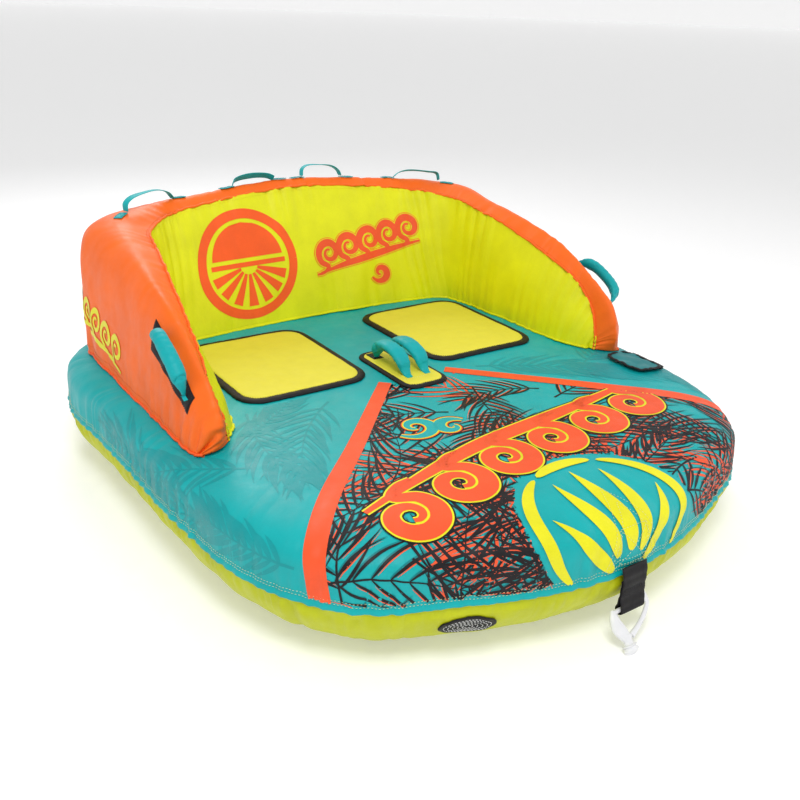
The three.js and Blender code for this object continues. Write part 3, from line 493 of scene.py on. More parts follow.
FILM = plastic("vinyl_film", (0.52, 0.54, 0.56), roughness=0.32, relief=0.12)


# ------------------------------------------------------------------ deck surface

def seam_outline(count):
    """The seam's outline, evenly spaced, from the nose round by the right side."""
    half = [np.array(p, float) for p in NOSE]
    for turn in np.radians([0, 30, 60, 90]):
        half.append(np.array([STERN_SIDE - STERN_CORNER * (1 - math.cos(turn)),
                              STERN_REAR - STERN_CORNER * (1 - math.sin(turn))]))
    half += [np.array([300.0, STERN_REAR]), np.array([0.0, STERN_REAR])]
    mirrored = [p * (-1, 1) for p in half[-2:0:-1]]
    dense = catmull(half + mirrored, np.linspace(0, 1, 4000), closed=True)
    return resampled(dense, count + 1)[:-1] * MM


OUTLINE = seam_outline(1440)
OUTLINE_ANGLE = np.arctan2(OUTLINE[:, 0], -OUTLINE[:, 1])
OUTLINE_ORDER = np.argsort(OUTLINE_ANGLE)
OUTLINE_RADIUS = np.linalg.norm(OUTLINE, axis=1)
OUTLINE_ALONG = arc_lengths(OUTLINE)
PERIMETER = OUTLINE_ALONG[-1] + np.linalg.norm(OUTLINE[0] - OUTLINE[-1])


def radius_at(angle):
    """Distance of the seam from the middle, at a direction."""
    return np.interp(angle, OUTLINE_ANGLE[OUTLINE_ORDER], OUTLINE_RADIUS[OUTLINE_ORDER], period=2 * np.pi)


def along_at(angle):
    """Distance along the seam from the nose, at a direction."""
    s = OUTLINE_ALONG.copy()
    s[OUTLINE_ANGLE < 0] -= PERIMETER
    return np.interp(angle, OUTLINE_ANGLE[OUTLINE_ORDER], s[OUTLINE_ORDER])


def profile_height(k):
    """The deck's height at a share k of the way from its middle to the seam."""
    return SEAM_Z + (DECK_Z - SEAM_Z) * np.maximum(1 - np.clip(k, 0, 1) ** DECK_POWER, 0) ** (1 / DECK_POWER)


def profile_points(count):
    """The deck's section, from its middle (k 0) to the seam (k 1), evenly spaced by its own length."""
    k = np.concatenate([np.linspace(0, 0.9, 200, endpoint=False), 1 - 0.1 * np.linspace(1, 0, 1500) ** 3])
    return resampled(np.stack([k * MEAN_RADIUS, profile_height(k)], 1), count)


SECTION = profile_points(400)
SECTION_ALONG = np.linspace(0, 1, len(SECTION))
SECTION_LENGTH = arc_lengths(SECTION)[-1]


def section_at(share):
    """(k, z) at a share of the section's length."""
    return (np.interp(share, SECTION_ALONG, SECTION[:, 0] / MEAN_RADIUS),
            np.interp(share, SECTION_ALONG, SECTION[:, 1]))


def polar(angle, k, z):
    """Points at a direction, a share k of the way out to the seam, and a height."""
    r = radius_at(angle) * k
    return np.stack([r * np.sin(angle), -r * np.cos(angle), z], -1)


def deck_bare(angle, share):
    """Points of the deck cover without its folds."""
    return polar(angle, *section_at(share))


DECK_GATHERS = (11, 0.018, 0.085, 0.0110)   # seed, shortest, longest and depth
LOWER_GATHERS = (29, 0.016, 0.085, 0.0150)


def deck_folds(angle, share):
    """How far the printed cover stands out or in: broad swells, and gathers that run up from the seam."""
    s = along_at(angle)
    d = (1 - share) * SECTION_LENGTH
    gathered = gathers(s, d, *DECK_GATHERS) * smoothstep(share, 0.3, 0.8)
    gathered = gathered * (0.30 + 0.70 * smoothstep(d, 0.002, 0.030))
    hem = 0.0016 * wander(s, 5, 0.03, 0.09) * np.exp(-d / 0.02)
    x, y = np.sin(angle) * share, -np.cos(angle) * share
    broad = 0.0022 * np.sin(9 * x + 2.1 * np.sin(5 * y)) * np.sin(7 * y + 1.3) * smoothstep(share, 0.15, 0.7)
    return (gathered + hem + broad) * smoothstep(share, 0.06, 0.25)


def deck_exact(angle, share):
    """Points and normals of the deck cover, in the row frame."""
    step = 0.002
    low, high = np.clip(share - step, 0.001, 1), np.clip(share + step, 0.001, 1)
    along = deck_bare(angle + step, share) - deck_bare(angle - step, share)
    out = deck_bare(angle, high) - deck_bare(angle, low)
    normal = unit(np.cross(out, along))
    return deck_bare(angle, share) + normal * deck_folds(angle, share)[..., None] + SHIFT * (1, 1, 0), normal


DECK_COLUMNS = 1200
DECK_PICKS = np.round(np.linspace(0, len(OUTLINE), DECK_COLUMNS, endpoint=False)).astype(int)
DECK_ANGLES = np.sort(OUTLINE_ANGLE[DECK_PICKS])
DECK_SHARES = np.concatenate([np.linspace(0.004, 0.70, 60, endpoint=False), np.linspace(0.70, 1, 80)])
DECK_GRID, DECK_NORMALS = deck_exact(*np.meshgrid(DECK_ANGLES, DECK_SHARES))


def grid_place(grid, normals, row, column, lift, wrap=False):
    """A point and normal at fractional places of a grid of points, lifted along the normal."""
    row, column = np.broadcast_arrays(np.asarray(row, float), np.asarray(column, float))
    rows, columns = grid.shape[:2]
    r = np.clip(row, 0, rows - 1.001)
    c = column % columns if wrap else np.clip(column, 0, columns - 1.001)
    i, j = r.astype(int), c.astype(int)
    f, g = (r - i)[..., None], (c - j)[..., None]
    after = (j + 1) % columns

    def mix(values):
        return (values[i, j] * (1 - f) * (1 - g) + values[i + 1, j] * f * (1 - g)
                + values[i, after] * (1 - f) * g + values[i + 1, after] * f * g)
    normal = unit(mix(normals))
    return mix(grid) + normal * np.asarray(lift)[..., None], normal


def deck_at(angle, share, lift=0.0):
    """Points and normals on the deck cover's own mesh, at a direction and a share of the section."""
    angle = (np.asarray(angle, float) + np.pi) % (2 * np.pi) - np.pi
    padded = np.concatenate([DECK_ANGLES, [DECK_ANGLES[0] + 2 * np.pi]])
    column = np.interp(np.where(angle < DECK_ANGLES[0], angle + 2 * np.pi, angle), padded,
                       np.arange(len(padded)))
    row = np.interp(share, DECK_SHARES, np.arange(len(DECK_SHARES)))
    return grid_place(DECK_GRID, DECK_NORMALS, row, column, lift, wrap=True)


def plan_reach(points):
    """How far out a place of the unrolled plan lies, as a share of the way to the seam."""
    angle = np.arctan2(points[..., 0], -points[..., 1])
    return np.linalg.norm(points, axis=-1) / ((SECTION_LENGTH - MEAN_RADIUS) + radius_at(angle))


def deck_plan(points, lift=0.0):
    """Places on the deck given as x and y on an unrolled plan, where a place's distance from the middle is
    the distance along the section."""
    points = np.asarray(points, float)
    angle = np.arctan2(points[..., 0], -points[..., 1])
    return deck_at(angle, np.clip(plan_reach(points), 0.002, 1.0), lift)


def deck_over(x, y, lift=0.0):
    """The deck's point straight above or below a place (x, y) of the row frame."""
    x, y = np.broadcast_arrays(np.asarray(x, float), np.asarray(y, float) - SHIFT[1])
    angle = np.arctan2(x, -y)
    k = np.clip(np.hypot(x, y) / radius_at(angle), 0, 1)
    share = np.interp(k, SECTION[:, 0] / MEAN_RADIUS, SECTION_ALONG)
    return deck_at(angle, share, lift)


def make_deck_cover():
    """The printed cover, lapped over the lower one at the seam and closed by a fan in its middle."""
    rim = DECK_GRID[-1]
    outward = unit(rim * (1, 1, 0) - SHIFT * (1, 1, 0))
    wave = (0.0008 * wander(along_at(DECK_ANGLES), 23, 0.02, 0.07))[:, None]
    steps = ((0.0038, 0, -0.004), (0.0052, 1, -LAP), (0.0042, 1, -LAP - LAP_END), (-0.002, 0, -LAP + 0.001))
    lap = [rim + outward * (out + wave * waved) + [0, 0, drop] for out, waved, drop in steps]
    rows = np.concatenate([DECK_GRID, np.stack(lap)])
    depth = np.append(DECK_SHARES * SECTION_LENGTH, SECTION_LENGTH + np.array([0.004, 0.010, 0.012, 0.014]))
    uv = np.stack(np.meshgrid(along_at(DECK_ANGLES), depth), -1)
    faces = grid_faces(len(rows), DECK_COLUMNS, wrap=True).tolist()
    vertices = np.concatenate([rows.reshape(-1, 3), [[*(SHIFT[:2]), DECK_Z]]])
    faces += fan_faces(len(vertices) - 1, 0, DECK_COLUMNS)
    uv = np.concatenate([uv.reshape(-1, 2), [[0, 0]]])
    tidy_normals(new_object("deck_cover", vertices, faces, TEAL, uv=uv, slot="teal_cover",
                            replaces=["base_top_cover"]))


# ------------------------------------------------------------------ lower cover

LOWER = catmull([(k * MEAN_RADIUS, z * MM) for k, z in BOTTOM], np.linspace(0, 1, 240))
LOWER_ALONG = arc_lengths(LOWER)
RIM_FOLD = deck_folds(DECK_ANGLES, np.ones(DECK_COLUMNS))
UNDERSIDE_Z = 0.0008
UNDER_LAP = 0.0035                          # how far the lower cover lies inside the lap


def lower_at(angle, depth, lift=0.0):
    """Points of the lower cover: depth is the distance down from the seam along its section."""
    angle, depth = np.broadcast_arrays(np.asarray(angle, float), np.asarray(depth, float))
    place = LOWER_ALONG[-1] - depth

    def bare(a, at):
        return polar(a, np.interp(at, LOWER_ALONG, LOWER[:, 0] / MEAN_RADIUS),
                     np.interp(at, LOWER_ALONG, LOWER[:, 1]))
    step = 0.002
    along = bare(angle + step, place) - bare(angle - step, place)
    up = bare(angle, place + step) - bare(angle, np.maximum(place - step, 0))
    normal = unit(np.cross(along, up))
    s = along_at(angle)
    fold = gathers(s, depth, *LOWER_GATHERS) * smoothstep(0.26 - depth, 0.0, 0.08)
    under_lap = np.interp(angle, DECK_ANGLES, RIM_FOLD) - UNDER_LAP
    fold = under_lap + (fold - under_lap) * smoothstep(depth, LAP, LAP + 0.030)
    fold += 0.002 * wander(s, 71, 0.12, 0.4) * smoothstep(depth, 0.02, 0.1) * smoothstep(0.3 - depth, 0, 0.1)
    points = bare(angle, place) + normal * (fold + lift)[..., None] + SHIFT * (1, 1, 0)
    points[..., 2] = np.maximum(points[..., 2], UNDERSIDE_Z)
    return points, normal


def make_lower_cover():
    """The lower cover, from inside the lap down to a fan in the middle of the underside."""
    depths = np.concatenate([np.linspace(0, 0.22, 72, endpoint=False), np.linspace(0.22, LOWER_ALONG[-1], 14)])
    points, _ = lower_at(*np.meshgrid(DECK_ANGLES, depths))
    uv = np.stack(np.meshgrid(along_at(DECK_ANGLES), depths), -1)
    vertices = np.concatenate([points.reshape(-1, 3), [[*(SHIFT[:2]), UNDERSIDE_Z]]])
    faces = grid_faces(len(depths), DECK_COLUMNS, wrap=True).tolist()
    faces += fan_faces(len(vertices) - 1, (len(depths) - 1) * DECK_COLUMNS, DECK_COLUMNS)
    uv = np.concatenate([uv.reshape(-1, 2), [[0, 0.5]]])
    tidy_normals(new_object("lower_cover", vertices, faces, LIME, uv=uv, slot="lime_cover",
                            replaces=["base_bottom_cover"]))


# ------------------------------------------------------------------ backrest surfaces

def rail(column):
    """One point of every station as a dense line, from the left arm's front end (0) to the right's (1)."""
    right = [np.append(s[column], [0.0] * (3 - len(s[column]))) for s in STATIONS]
    left = [p * (-1, 1, 1) for p in right[:0:-1]]
    return np.array(left + right) * MM


def with_foot(points):
    """Drops foot points onto the deck's smooth surface."""
    angle = np.arctan2(points[:, 0], -points[:, 1])
    k = np.clip(np.linalg.norm(points[:, :2], axis=1) / radius_at(angle), 0, 1)
    return np.stack([points[:, 0], points[:, 1], profile_height(k) - SHIFT[2] + FOOT_LIFT], 1)


RAILS = [rail(column) for column in range(6)]
FOOT, SEAM, HEEL = 0, 1, 5                  # the rails named below; the rest lie between SEAM and HEEL


def rails_at(t):
    """The six rails at each t, with the foot and heel dropped onto the deck."""
    lines = [catmull(r, t, centripetal=False) for r in RAILS]
    lines[FOOT], lines[HEEL] = with_foot(lines[FOOT]), with_foot(lines[HEEL])
    return lines


def cover_bare(t, w):
    """Outer cover at each t (rows) and w (columns): w 0 is the top seam and 1 the foot."""
    lines = rails_at(t)
    return np.moveaxis(catmull(np.stack(lines[SEAM:]), w), 0, 1)


def nose_bare(sign, w, steps):
    """The cover's rows round the front end of an arm, from the last station down to its toe on the deck."""
    end = 1.0 if sign > 0 else 0.0
    before = cover_bare(np.array([end - sign * 0.02]), w)[0]
    last = cover_bare(np.array([end]), w)[0]
    inner, outer = (np.array([sign * p[0], p[1], 0.0]) for p in (TOE_INNER, TOE_OUTER))
    share = w[:, None]
    toe = (inner * (1 - share) + outer * share) * MM
    toe[:, 1] -= TOE_ROUND * MM * np.sin(np.pi * w)
    toe = with_foot(toe)
    full = np.array(NOSE_BULGE) * (sign, 1, 1) * MM
    middle = (last + toe) / 2
    middle += (full - middle) * (0.68 * np.sin(np.pi * w) ** 0.8)[:, None]
    return catmull(np.stack([before, last, middle, toe]), np.linspace(1 / 3, 1, steps))[1:]


COVER_GUIDE, WALL_GUIDE = 20, 24            # columns along which the surfaces' lengths are measured


def normals_of(grid, way):
    """Normals of a grid of points, turned so that in the middle of the back they point to +Y or -Y."""
    normal = unit(np.cross(np.gradient(grid, axis=0), np.gradient(grid, axis=1)))
    return normal * (way * np.sign(normal[len(grid) // 2, 20, 1]))


def row_lengths(grid):
    """Distance along each row of a grid up to each of its points."""
    return np.stack([arc_lengths(row) for row in grid])


def make_backrest_side(name, grid, s, d, **place):
    uv = np.stack([np.broadcast_to(s[:, None], d.shape), d], -1)
    tidy_normals(new_object(name, grid, grid_faces(*grid.shape[:2]), uv=uv, **place))


COVER_T = np.linspace(0, 1, 300)
COVER_W = np.linspace(0, 1, 64)
NOSE_STEPS = 26
COVER_BARE = np.concatenate([nose_bare(-1, COVER_W, NOSE_STEPS)[::-1], cover_bare(COVER_T, COVER_W),
                             nose_bare(1, COVER_W, NOSE_STEPS)])
COVER_NORMAL = normals_of(COVER_BARE, 1)
COVER_S = arc_lengths(COVER_BARE[:, COVER_GUIDE])
COVER_D = row_lengths(COVER_BARE)


def cover_folds(s, d, length):
    """Folds of the outer cover: fine gathers from the foot, short ones at the top seam, slanting creases."""
    foot = length - d
    fold = gathers(s, foot, 41, 0.018, 0.110, 0.0140) * (0.35 + 0.65 * smoothstep(foot, 0.002, 0.030))
    fold += gathers(s, d, 43, 0.016, 0.06, 0.0060)
    slant = np.sin(70 * s + 38 * foot + 2 * wander(s, 3, 0.1, 0.3))
    fold += 0.0015 * slant * np.exp(-((foot - 0.09) / 0.06) ** 2)
    return fold + 0.0016 * wander(s + 0.6 * d, 47, 0.12, 0.5)


COVER = COVER_BARE + COVER_NORMAL * cover_folds(COVER_S[:, None], COVER_D, COVER_D[:, -1:])[..., None] + SHIFT


def cover_place(row, column, lift=0.0):
    """A point and the normal of the outer cover at fractional grid places."""
    return grid_place(COVER, COVER_NORMAL, row, column, lift)


WALL_V = np.linspace(0, 1, 48)


def wall_bare(t, v):
    """Inner panel at each t (rows) and v (columns): v 0 is the foot and 1 the top seam."""
    lines = rails_at(t)
    foot, seam = lines[FOOT], lines[SEAM]
    rise = np.clip((seam[:, 2] - foot[:, 2]) / 0.2, 0, 1)
    inward = unit(np.stack([-foot[:, 0], 0.150 - foot[:, 1], 0 * rise], 1))
    bow = 0.014 * rise[:, None, None] * np.sin(np.pi * v)[None, :, None]
    return foot[:, None] * (1 - v[None, :, None]) + seam[:, None] * v[None, :, None] + inward[:, None] * bow


WALL_T = np.linspace(0, 1, 420)
WALL_BARE = wall_bare(WALL_T, WALL_V)
WALL_NORMAL = normals_of(WALL_BARE, -1)
WALL_S = arc_lengths(WALL_BARE[:, WALL_GUIDE])
WALL_D = row_lengths(WALL_BARE)


def wall_folds(s, d, length):
    """Folds of the inner panel: gathers at both seams, and tall creases where the back turns into an arm."""
    top = length - d
    fold = gathers(s, d, 61, 0.022, 0.085, 0.0075) + gathers(s, top, 63, 0.018, 0.10, 0.0085)
    crease = np.abs(np.sin(np.pi * (s + 0.05 * d + 0.004 * np.sin(14 * d)) / 0.034)) - 0.6
    for corner in (0.318, 0.682):
        near = np.exp(-((s - corner * WALL_S[-1]) / 0.085) ** 2)
        fold = fold + near * 0.0046 * crease * np.sin(np.pi * np.clip(d / length, 0, 1)) ** 0.5
    return fold + 0.0018 * wander(s - 0.4 * d, 67, 0.1, 0.45)


WALL = WALL_BARE + WALL_NORMAL * wall_folds(WALL_S[:, None], WALL_D, WALL_D[:, -1:])[..., None] + SHIFT


def wall_place(row, column, lift=0.0):
    """A point and the normal of the inner panel at fractional grid places."""
    return grid_place(WALL, WALL_NORMAL, row, column, lift)


def make_backrest_trim():
    """Welts along the top seam, the foot and the arms' front edges, with rows of stitching beside them."""
    tube("backrest_top_welt", COVER[:, 0] + COVER_NORMAL[:, 0] * 0.001, 0.0034, ORANGE, slot="orange_cover")
    tube("backrest_foot_welt", COVER[:, -1] + [0, 0, 0.0005], 0.0042, PRINT_ORANGE, slot="orange_cover")
    tube("backrest_panel_welt", WALL[:, 0] + WALL_NORMAL[:, 0] * 0.0015, 0.0036, YELLOW, slot="yellow_cover")
    for name, grid, place, columns, thread, slot in (
            ("cover", COVER, cover_place, (1.6, 60.6), THREAD_ORANGE, "orange_cover"),
            ("panel", WALL, wall_place, (1.2, 45.8), PRINT_YELLOW, "yellow_cover")):
        lines = [place(np.arange(len(grid)), float(column), 0.0004) for column in columns]
        stitches(f"backrest_{name}_stitching", lines, thread, slot=slot)
    for sign, name in ((0, "left"), (1, "right")):
        edge = WALL[-1 if sign else 0]
        front = COVER[-NOSE_STEPS:, 0] if sign else COVER[:NOSE_STEPS, 0][::-1]
        strip = np.stack([resampled(edge[::-1], 24), resampled(front, 24)], 1)
        across = strip[:, 1] - strip[:, 0]
        rows = [strip[:, 0] + across * f + np.array([0, -0.004 * math.sin(math.pi * f), 0])
                for f in np.linspace(0, 1, 6)]
        new_object(f"arm_front_strip_{name}", np.stack(rows, 1), grid_faces(24, 6), YELLOW,
                   uv=np.stack(np.meshgrid(np.linspace(0, 0.05, 6), np.linspace(0, 0.25, 24)), -1),
                   slot="yellow_cover")
        tube(f"arm_front_welt_{name}", strip[:, 1] + [0, -0.002, 0], 0.0032, YELLOW, slot="yellow_cover")


# ------------------------------------------------------------------ pads

def rounded_outline(x0, x1, y0, y1, radius, step=0.006):
    """A rounded rectangle as evenly spaced points."""
    line = []
    corners = ((x1 - radius, y0 + radius, -90), (x1 - radius, y1 - radius, 0), (x0 + radius, y1 - radius, 90),
               (x0 + radius, y0 + radius, 180))
    for cx, cy, start in corners:
        for turn in np.radians(np.linspace(start, start + 90, 13)):
            line.append((cx + radius * math.cos(turn), cy + radius * math.sin(turn)))
    line = np.array(line + [line[0]])
    count = int(arc_lengths(line)[-1] / step)
    return resampled(line, count + 1)[:-1]


def make_pad(name, node, corner, binding, rise, bow=0.0015):
    """A foam pad: a crowned slab that follows the deck, with a rounded binding sewn over its edge."""
    low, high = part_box(f"{node}_binding")
    outline = rounded_outline(low.x, high.x, low.y, high.y, corner)
    centre = np.array([(low.x + high.x) / 2, (low.y + high.y) / 2])
    reach = np.abs(outline - centre).max(0)
    shrink = 1 - (binding * 0.55) / reach
    rows = []
    for share in np.linspace(1, 0, 26)[:-1]:
        ring = centre + (outline - centre) * shrink * share
        points, _ = deck_over(ring[:, 0], ring[:, 1])
        edge = np.minimum(1, (1 - share) / 0.05) ** 0.5
        ripple = 0.0006 * np.sin(ring[:, 0] * 41 + 1.7 * np.sin(ring[:, 1] * 33)) * np.cos(ring[:, 1] * 37)
        points[:, 2] += 0.002 + rise * edge + bow * (1 - share ** 2) + ripple
        rows.append(points)
    skirt, _ = deck_over(rows[0][:, 0], rows[0][:, 1], 0.0015)
    rows.insert(0, skirt)
    middle, _ = deck_over(centre[:1], centre[1:], 0.002 + rise + bow)
    vertices = np.concatenate([np.concatenate(rows), middle])
    count = len(outline)
    faces = grid_faces(len(rows), count, wrap=True).tolist()
    faces += fan_faces(len(vertices) - 1, (len(rows) - 1) * count, count)
    faces.append(list(range(count))[::-1])
    pad = tidy_normals(new_object(name, vertices, faces, PAD_YELLOW, slot="yellow_pad", replaces=[node]))
    path = centre + (outline - centre) * (1 - binding * 0.5 / reach)
    points, normals = deck_over(path[:, 0], path[:, 1], 0.003)
    pull = 1 + 0.06 * wander(arc_lengths(points), 91, 0.012, 0.05)[:, None, None]
    side = bound_edge(f"{name}_edge", points, normals, binding / 2, rise * 0.62 + 0.0008, pull, sides=14,
                      replaces=[f"{node}_binding"])
    line = points - side * binding * 0.30 + normals * (rise * 0.62)
    seam = np.concatenate([line, line[:1]]), np.concatenate([normals, normals[:1]])
    stitches(f"{name}_edge_stitching", [seam], THREAD_BLACK, slot="black_webbing")


# ------------------------------------------------------------------ handles and grips

def loop_facts(node, joint):
    """The feet, axis and rise of a webbing loop, from its CAD node and its joint."""
    vertices = np.array([v.co for v in frame["nodes"][node].data.vertices])
    foot = np.array(joint["pos_m"])
    axis = unit(np.array(joint["axis"]))
    along = (vertices - foot) @ axis
    length = along.max() + along.min()
    middle = vertices[np.abs(along - length / 2) < length * 0.06]
    rise = (middle - foot).mean(0)
    rise = rise - axis * (rise @ axis)
    if length < 0:
        return foot, foot + axis * (along.min() + along.max()), rise
    return foot, foot + axis * length, rise


def loop_path(foot_a, foot_b, rise, shape, count=90):
    """A loop between two feet through (share of the way, share of the rise) pairs."""
    points = [foot_a * (1 - f) + foot_b * f + rise * h for f, h in shape]
    return resampled(catmull(points, np.linspace(0, 1, 400)), count)


def make_top_handle(number, shape, twist):
    """A webbing handle: a loose loop and two tabs sewn down flat with boxed stitching."""
    name = f"top_handle_{number}"
    a, b, rise = loop_facts(name, JOINTS[name])
    path = loop_path(a, b, rise, shape)
    axis = unit(b - a)
    across = unit(np.cross(axis, rise))
    share = np.linspace(0, 1, len(path))
    turn = np.radians(twist) * np.sin(np.pi * share) ** 2 * np.sin(2 * np.pi * share + number)
    tangent = unit(np.gradient(path, axis=0))
    flat = across - tangent * (tangent @ across)[:, None]
    out = unit(np.cross(tangent, flat))
    side = unit(flat) * np.cos(turn)[:, None] + out * np.sin(turn)[:, None]
    out = unit(np.cross(tangent, side))
    width = WEB_HALF_WIDTH - 0.0022 * np.exp(-((share * (1 - share)) / 0.012))
    loop = webbing(f"{name}_loop", path, side, out, width, WEB_HALF_THICK, WEB_TEAL, body=None)
    finish_blend(loop, [name])
    for letter, inner in (("a", 1), ("b", -1)):
        low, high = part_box(f"{name}_tab_{letter}")
        target = np.array((low + high) / 2)
        line = COVER[:, :26] - target
        row, column = np.unravel_index(np.argmin(np.linalg.norm(line, axis=2)), line.shape[:2])
        forward = COVER[row, 12, 0] < COVER[min(row + 3, len(COVER) - 1), 12, 0]
        far = 0.021 * (-inner if forward else inner)
        s_line = np.linspace(COVER_S[row] + far, COVER_S[row] - far * 1.15, 14)
        rows = np.interp(s_line, COVER_S, np.arange(len(COVER)))
        points, normals = cover_place(rows, np.full(14, float(column)), 0.0022)
        tangent = unit(np.gradient(points, axis=0))
        side = unit(np.cross(normals, tangent))
        webbing(f"{name}_sewn_{letter}", points, side, normals, WEB_HALF_WIDTH, WEB_HALF_THICK, WEB_TEAL,
                slot="teal_webbing", replaces=[f"{name}_tab_{letter}"])
        inset = side * WEB_STITCH_INSET
        top = points + normals * 0.0014
        box = [(top[2:-2] + inset[2:-2] * way, normals[2:-2]) for way in (-1, 1)]
        box += [(np.stack([top[cut] - inset[cut], top[cut] + inset[cut]]), normals[cut]) for cut in (2, -3)]
        cross = np.stack([points[2] - inset[2], points[-3] + inset[-3]]) + normals[5] * 0.0015
        box.append((cross, normals[5]))
        stitches(f"{name}_stitching_{letter}", box, THREAD_TEAL, length=0.003, gap=0.0015, slot="teal_webbing")


SWELL_CAP = 0.004                           # the furthest that the simulation may move a point
SWELL_VOXEL = 0.0035
SWELL_PRESSURE = 3.0
SWELL_FRAMES = 20


def swell(made, pinned):
    """Fills a padded piece by cloth simulation: remesh, inflate, hold each point to a short way, smooth."""
    apply_modifier(made, "REMESH", mode="VOXEL", voxel_size=SWELL_VOXEL)
    before = np.array([v.co for v in made.data.vertices])
    group = made.vertex_groups.new(name="pinned")
    for index, weight in enumerate(pinned(before)):
        if weight > 0:
            group.add([index], float(weight), "REPLACE")
    modifier = made.modifiers.new("Cloth", "CLOTH")
    modifier.settings.effector_weights.gravity = 0
    for key, value in (("use_pressure", True), ("uniform_pressure_force", SWELL_PRESSURE),
                       ("shrink_min", -0.06), ("tension_stiffness", 8), ("bending_stiffness", 0.3),
                       ("vertex_group_mass", "pinned")):
        setattr(modifier.settings, key, value)
    modifier.point_cache.frame_start = 1
    modifier.point_cache.frame_end = SWELL_FRAMES
    for step in range(1, SWELL_FRAMES + 1):
        bpy.context.scene.frame_set(step)
    graph = bpy.context.evaluated_depsgraph_get()
    done = bpy.data.meshes.new_from_object(made.evaluated_get(graph))
    moved = np.array([v.co for v in done.vertices]) - before
    far = np.linalg.norm(moved, axis=1, keepdims=True)
    after = before + moved * np.minimum(1, SWELL_CAP / np.maximum(far, 1e-9))
    made.modifiers.clear()
    made.data = done
    done.vertices.foreach_set("co", after.astype(np.float32).ravel())
    done.update()
    bpy.context.scene.frame_set(1)
    for group in list(made.vertex_groups):
        made.vertex_groups.remove(group)
    apply_modifier(made, "SUBSURF", levels=1)
    shade_smooth(made)


def make_side_grip(side):
    """A fat padded grip, gathered where it bends, on its black patch."""
    name = f"side_grip_{side}"
    a, b, rise = loop_facts(name, JOINTS[name])
    shape = [(0, 0), (0.04, 0.4), (0.2, 0.86), (0.5, 1), (0.8, 0.86), (0.96, 0.4), (1, 0)]
    path = loop_path(a, b, rise, shape, 110)
    axis = unit(b - a)
    across = unit(np.cross(axis, rise))
    share = np.linspace(0, 1, len(path))
    fat = smoothstep(np.minimum(share, 1 - share), 0.0, 0.24)
    _, flat, out = frames_along(path, across=across)
    angle = turns(40)
    inner = np.clip(-np.sin(angle), 0, 1)[None]
    puckers = np.abs(np.sin(np.pi * share * 13 + 0.6 * np.sin(9 * share)))
    gathered = 1 - 0.10 * inner * (puckers * fat)[:, None]
    half_width = (0.006 + 0.0125 * fat)[:, None] * gathered
    half_thick = (0.0035 + 0.0130 * fat)[:, None] * gathered
    rings = (path[:, None] + (half_width * np.cos(angle))[..., None] * flat[:, None]
             + (half_thick * np.sin(angle))[..., None] * out[:, None])
    grip = swept(f"{name}_pad", path, rings, GRIP_TEAL, body=None)

    def ends(points):
        reach = np.abs((points - (a + b) / 2) @ axis) / (np.linalg.norm(b - a) / 2)
        return smoothstep(reach, 0.90, 0.97)
    swell(grip, ends)
    finish_blend(grip, [name])
    seam = path + flat * half_width.max(1)[:, None] * 0.98
    thread = stitches(f"{name}_stitching", [(seam[8:-8], flat[8:-8])], THREAD_TEAL, body=None)
    finish_blend(thread)
    make_side_patch(side)
    for letter, end in (("a", a), ("b", b)):
        distance = np.linalg.norm(COVER - end, axis=2)
        row, column = np.unravel_index(np.argmin(distance), distance.shape)
        base, normal = cover_place(float(row), float(column), 0.0034)
        line = resampled(np.stack([base - axis * 0.016, base, end]), 12)
        webbing(f"{name}_root_{letter}", line, np.broadcast_to(across, line.shape),
                np.broadcast_to(normal, line.shape), 0.0085, 0.0016, WEB_TEAL, slot="teal_webbing")


def make_side_patch(side):
    """The black patch under a side grip, laid on the outer cover and sewn round its edge."""
    low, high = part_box(f"side_patch_{side}")
    rows = [r for r in range(len(COVER)) if (COVER[r, 30, 0] < 0) == (side == "left")
            and low.y < COVER[r, 34, 1] < high.y and COVER[r, 34, 2] > 0.33]
    row_count, column_count = 50, 12
    row_line = np.linspace(rows[0], rows[-1], row_count)
    col_line = np.linspace(30.0, 40.5, column_count)
    lift = np.full((row_count, column_count), 0.0032)
    lift[[0, -1]] = lift[:, [0, -1]] = 0.0010
    points, _ = cover_place(row_line[:, None], col_line[None], lift)
    uv = np.stack(np.meshgrid(np.linspace(0, 0.06, column_count), np.linspace(0, 0.27, row_count)), -1)
    tidy_normals(new_object(f"side_patch_{side}_sewn", points, grid_faces(row_count, column_count), WEB_BLACK,
                            uv=uv, slot="black_webbing", replaces=[f"side_patch_{side}"]))
    corners = [(row_line[i], col_line[j]) for i, j in ((0, 0), (0, -1), (-1, -1), (-1, 0))]
    border = []
    for start, end in zip(corners, corners[1:] + corners[:1]):
        inset_rows = np.clip(np.linspace(start[0], end[0], 40), row_line[0] + 0.8, row_line[-1] - 0.8)
        inset_columns = np.clip(np.linspace(start[1], end[1], 40), col_line[0] + 0.7, col_line[-1] - 0.7)
        border.append(cover_place(inset_rows, inset_columns, 0.0036))
    stitches(f"side_patch_{side}_stitching", border, THREAD_BLACK, slot="black_webbing")


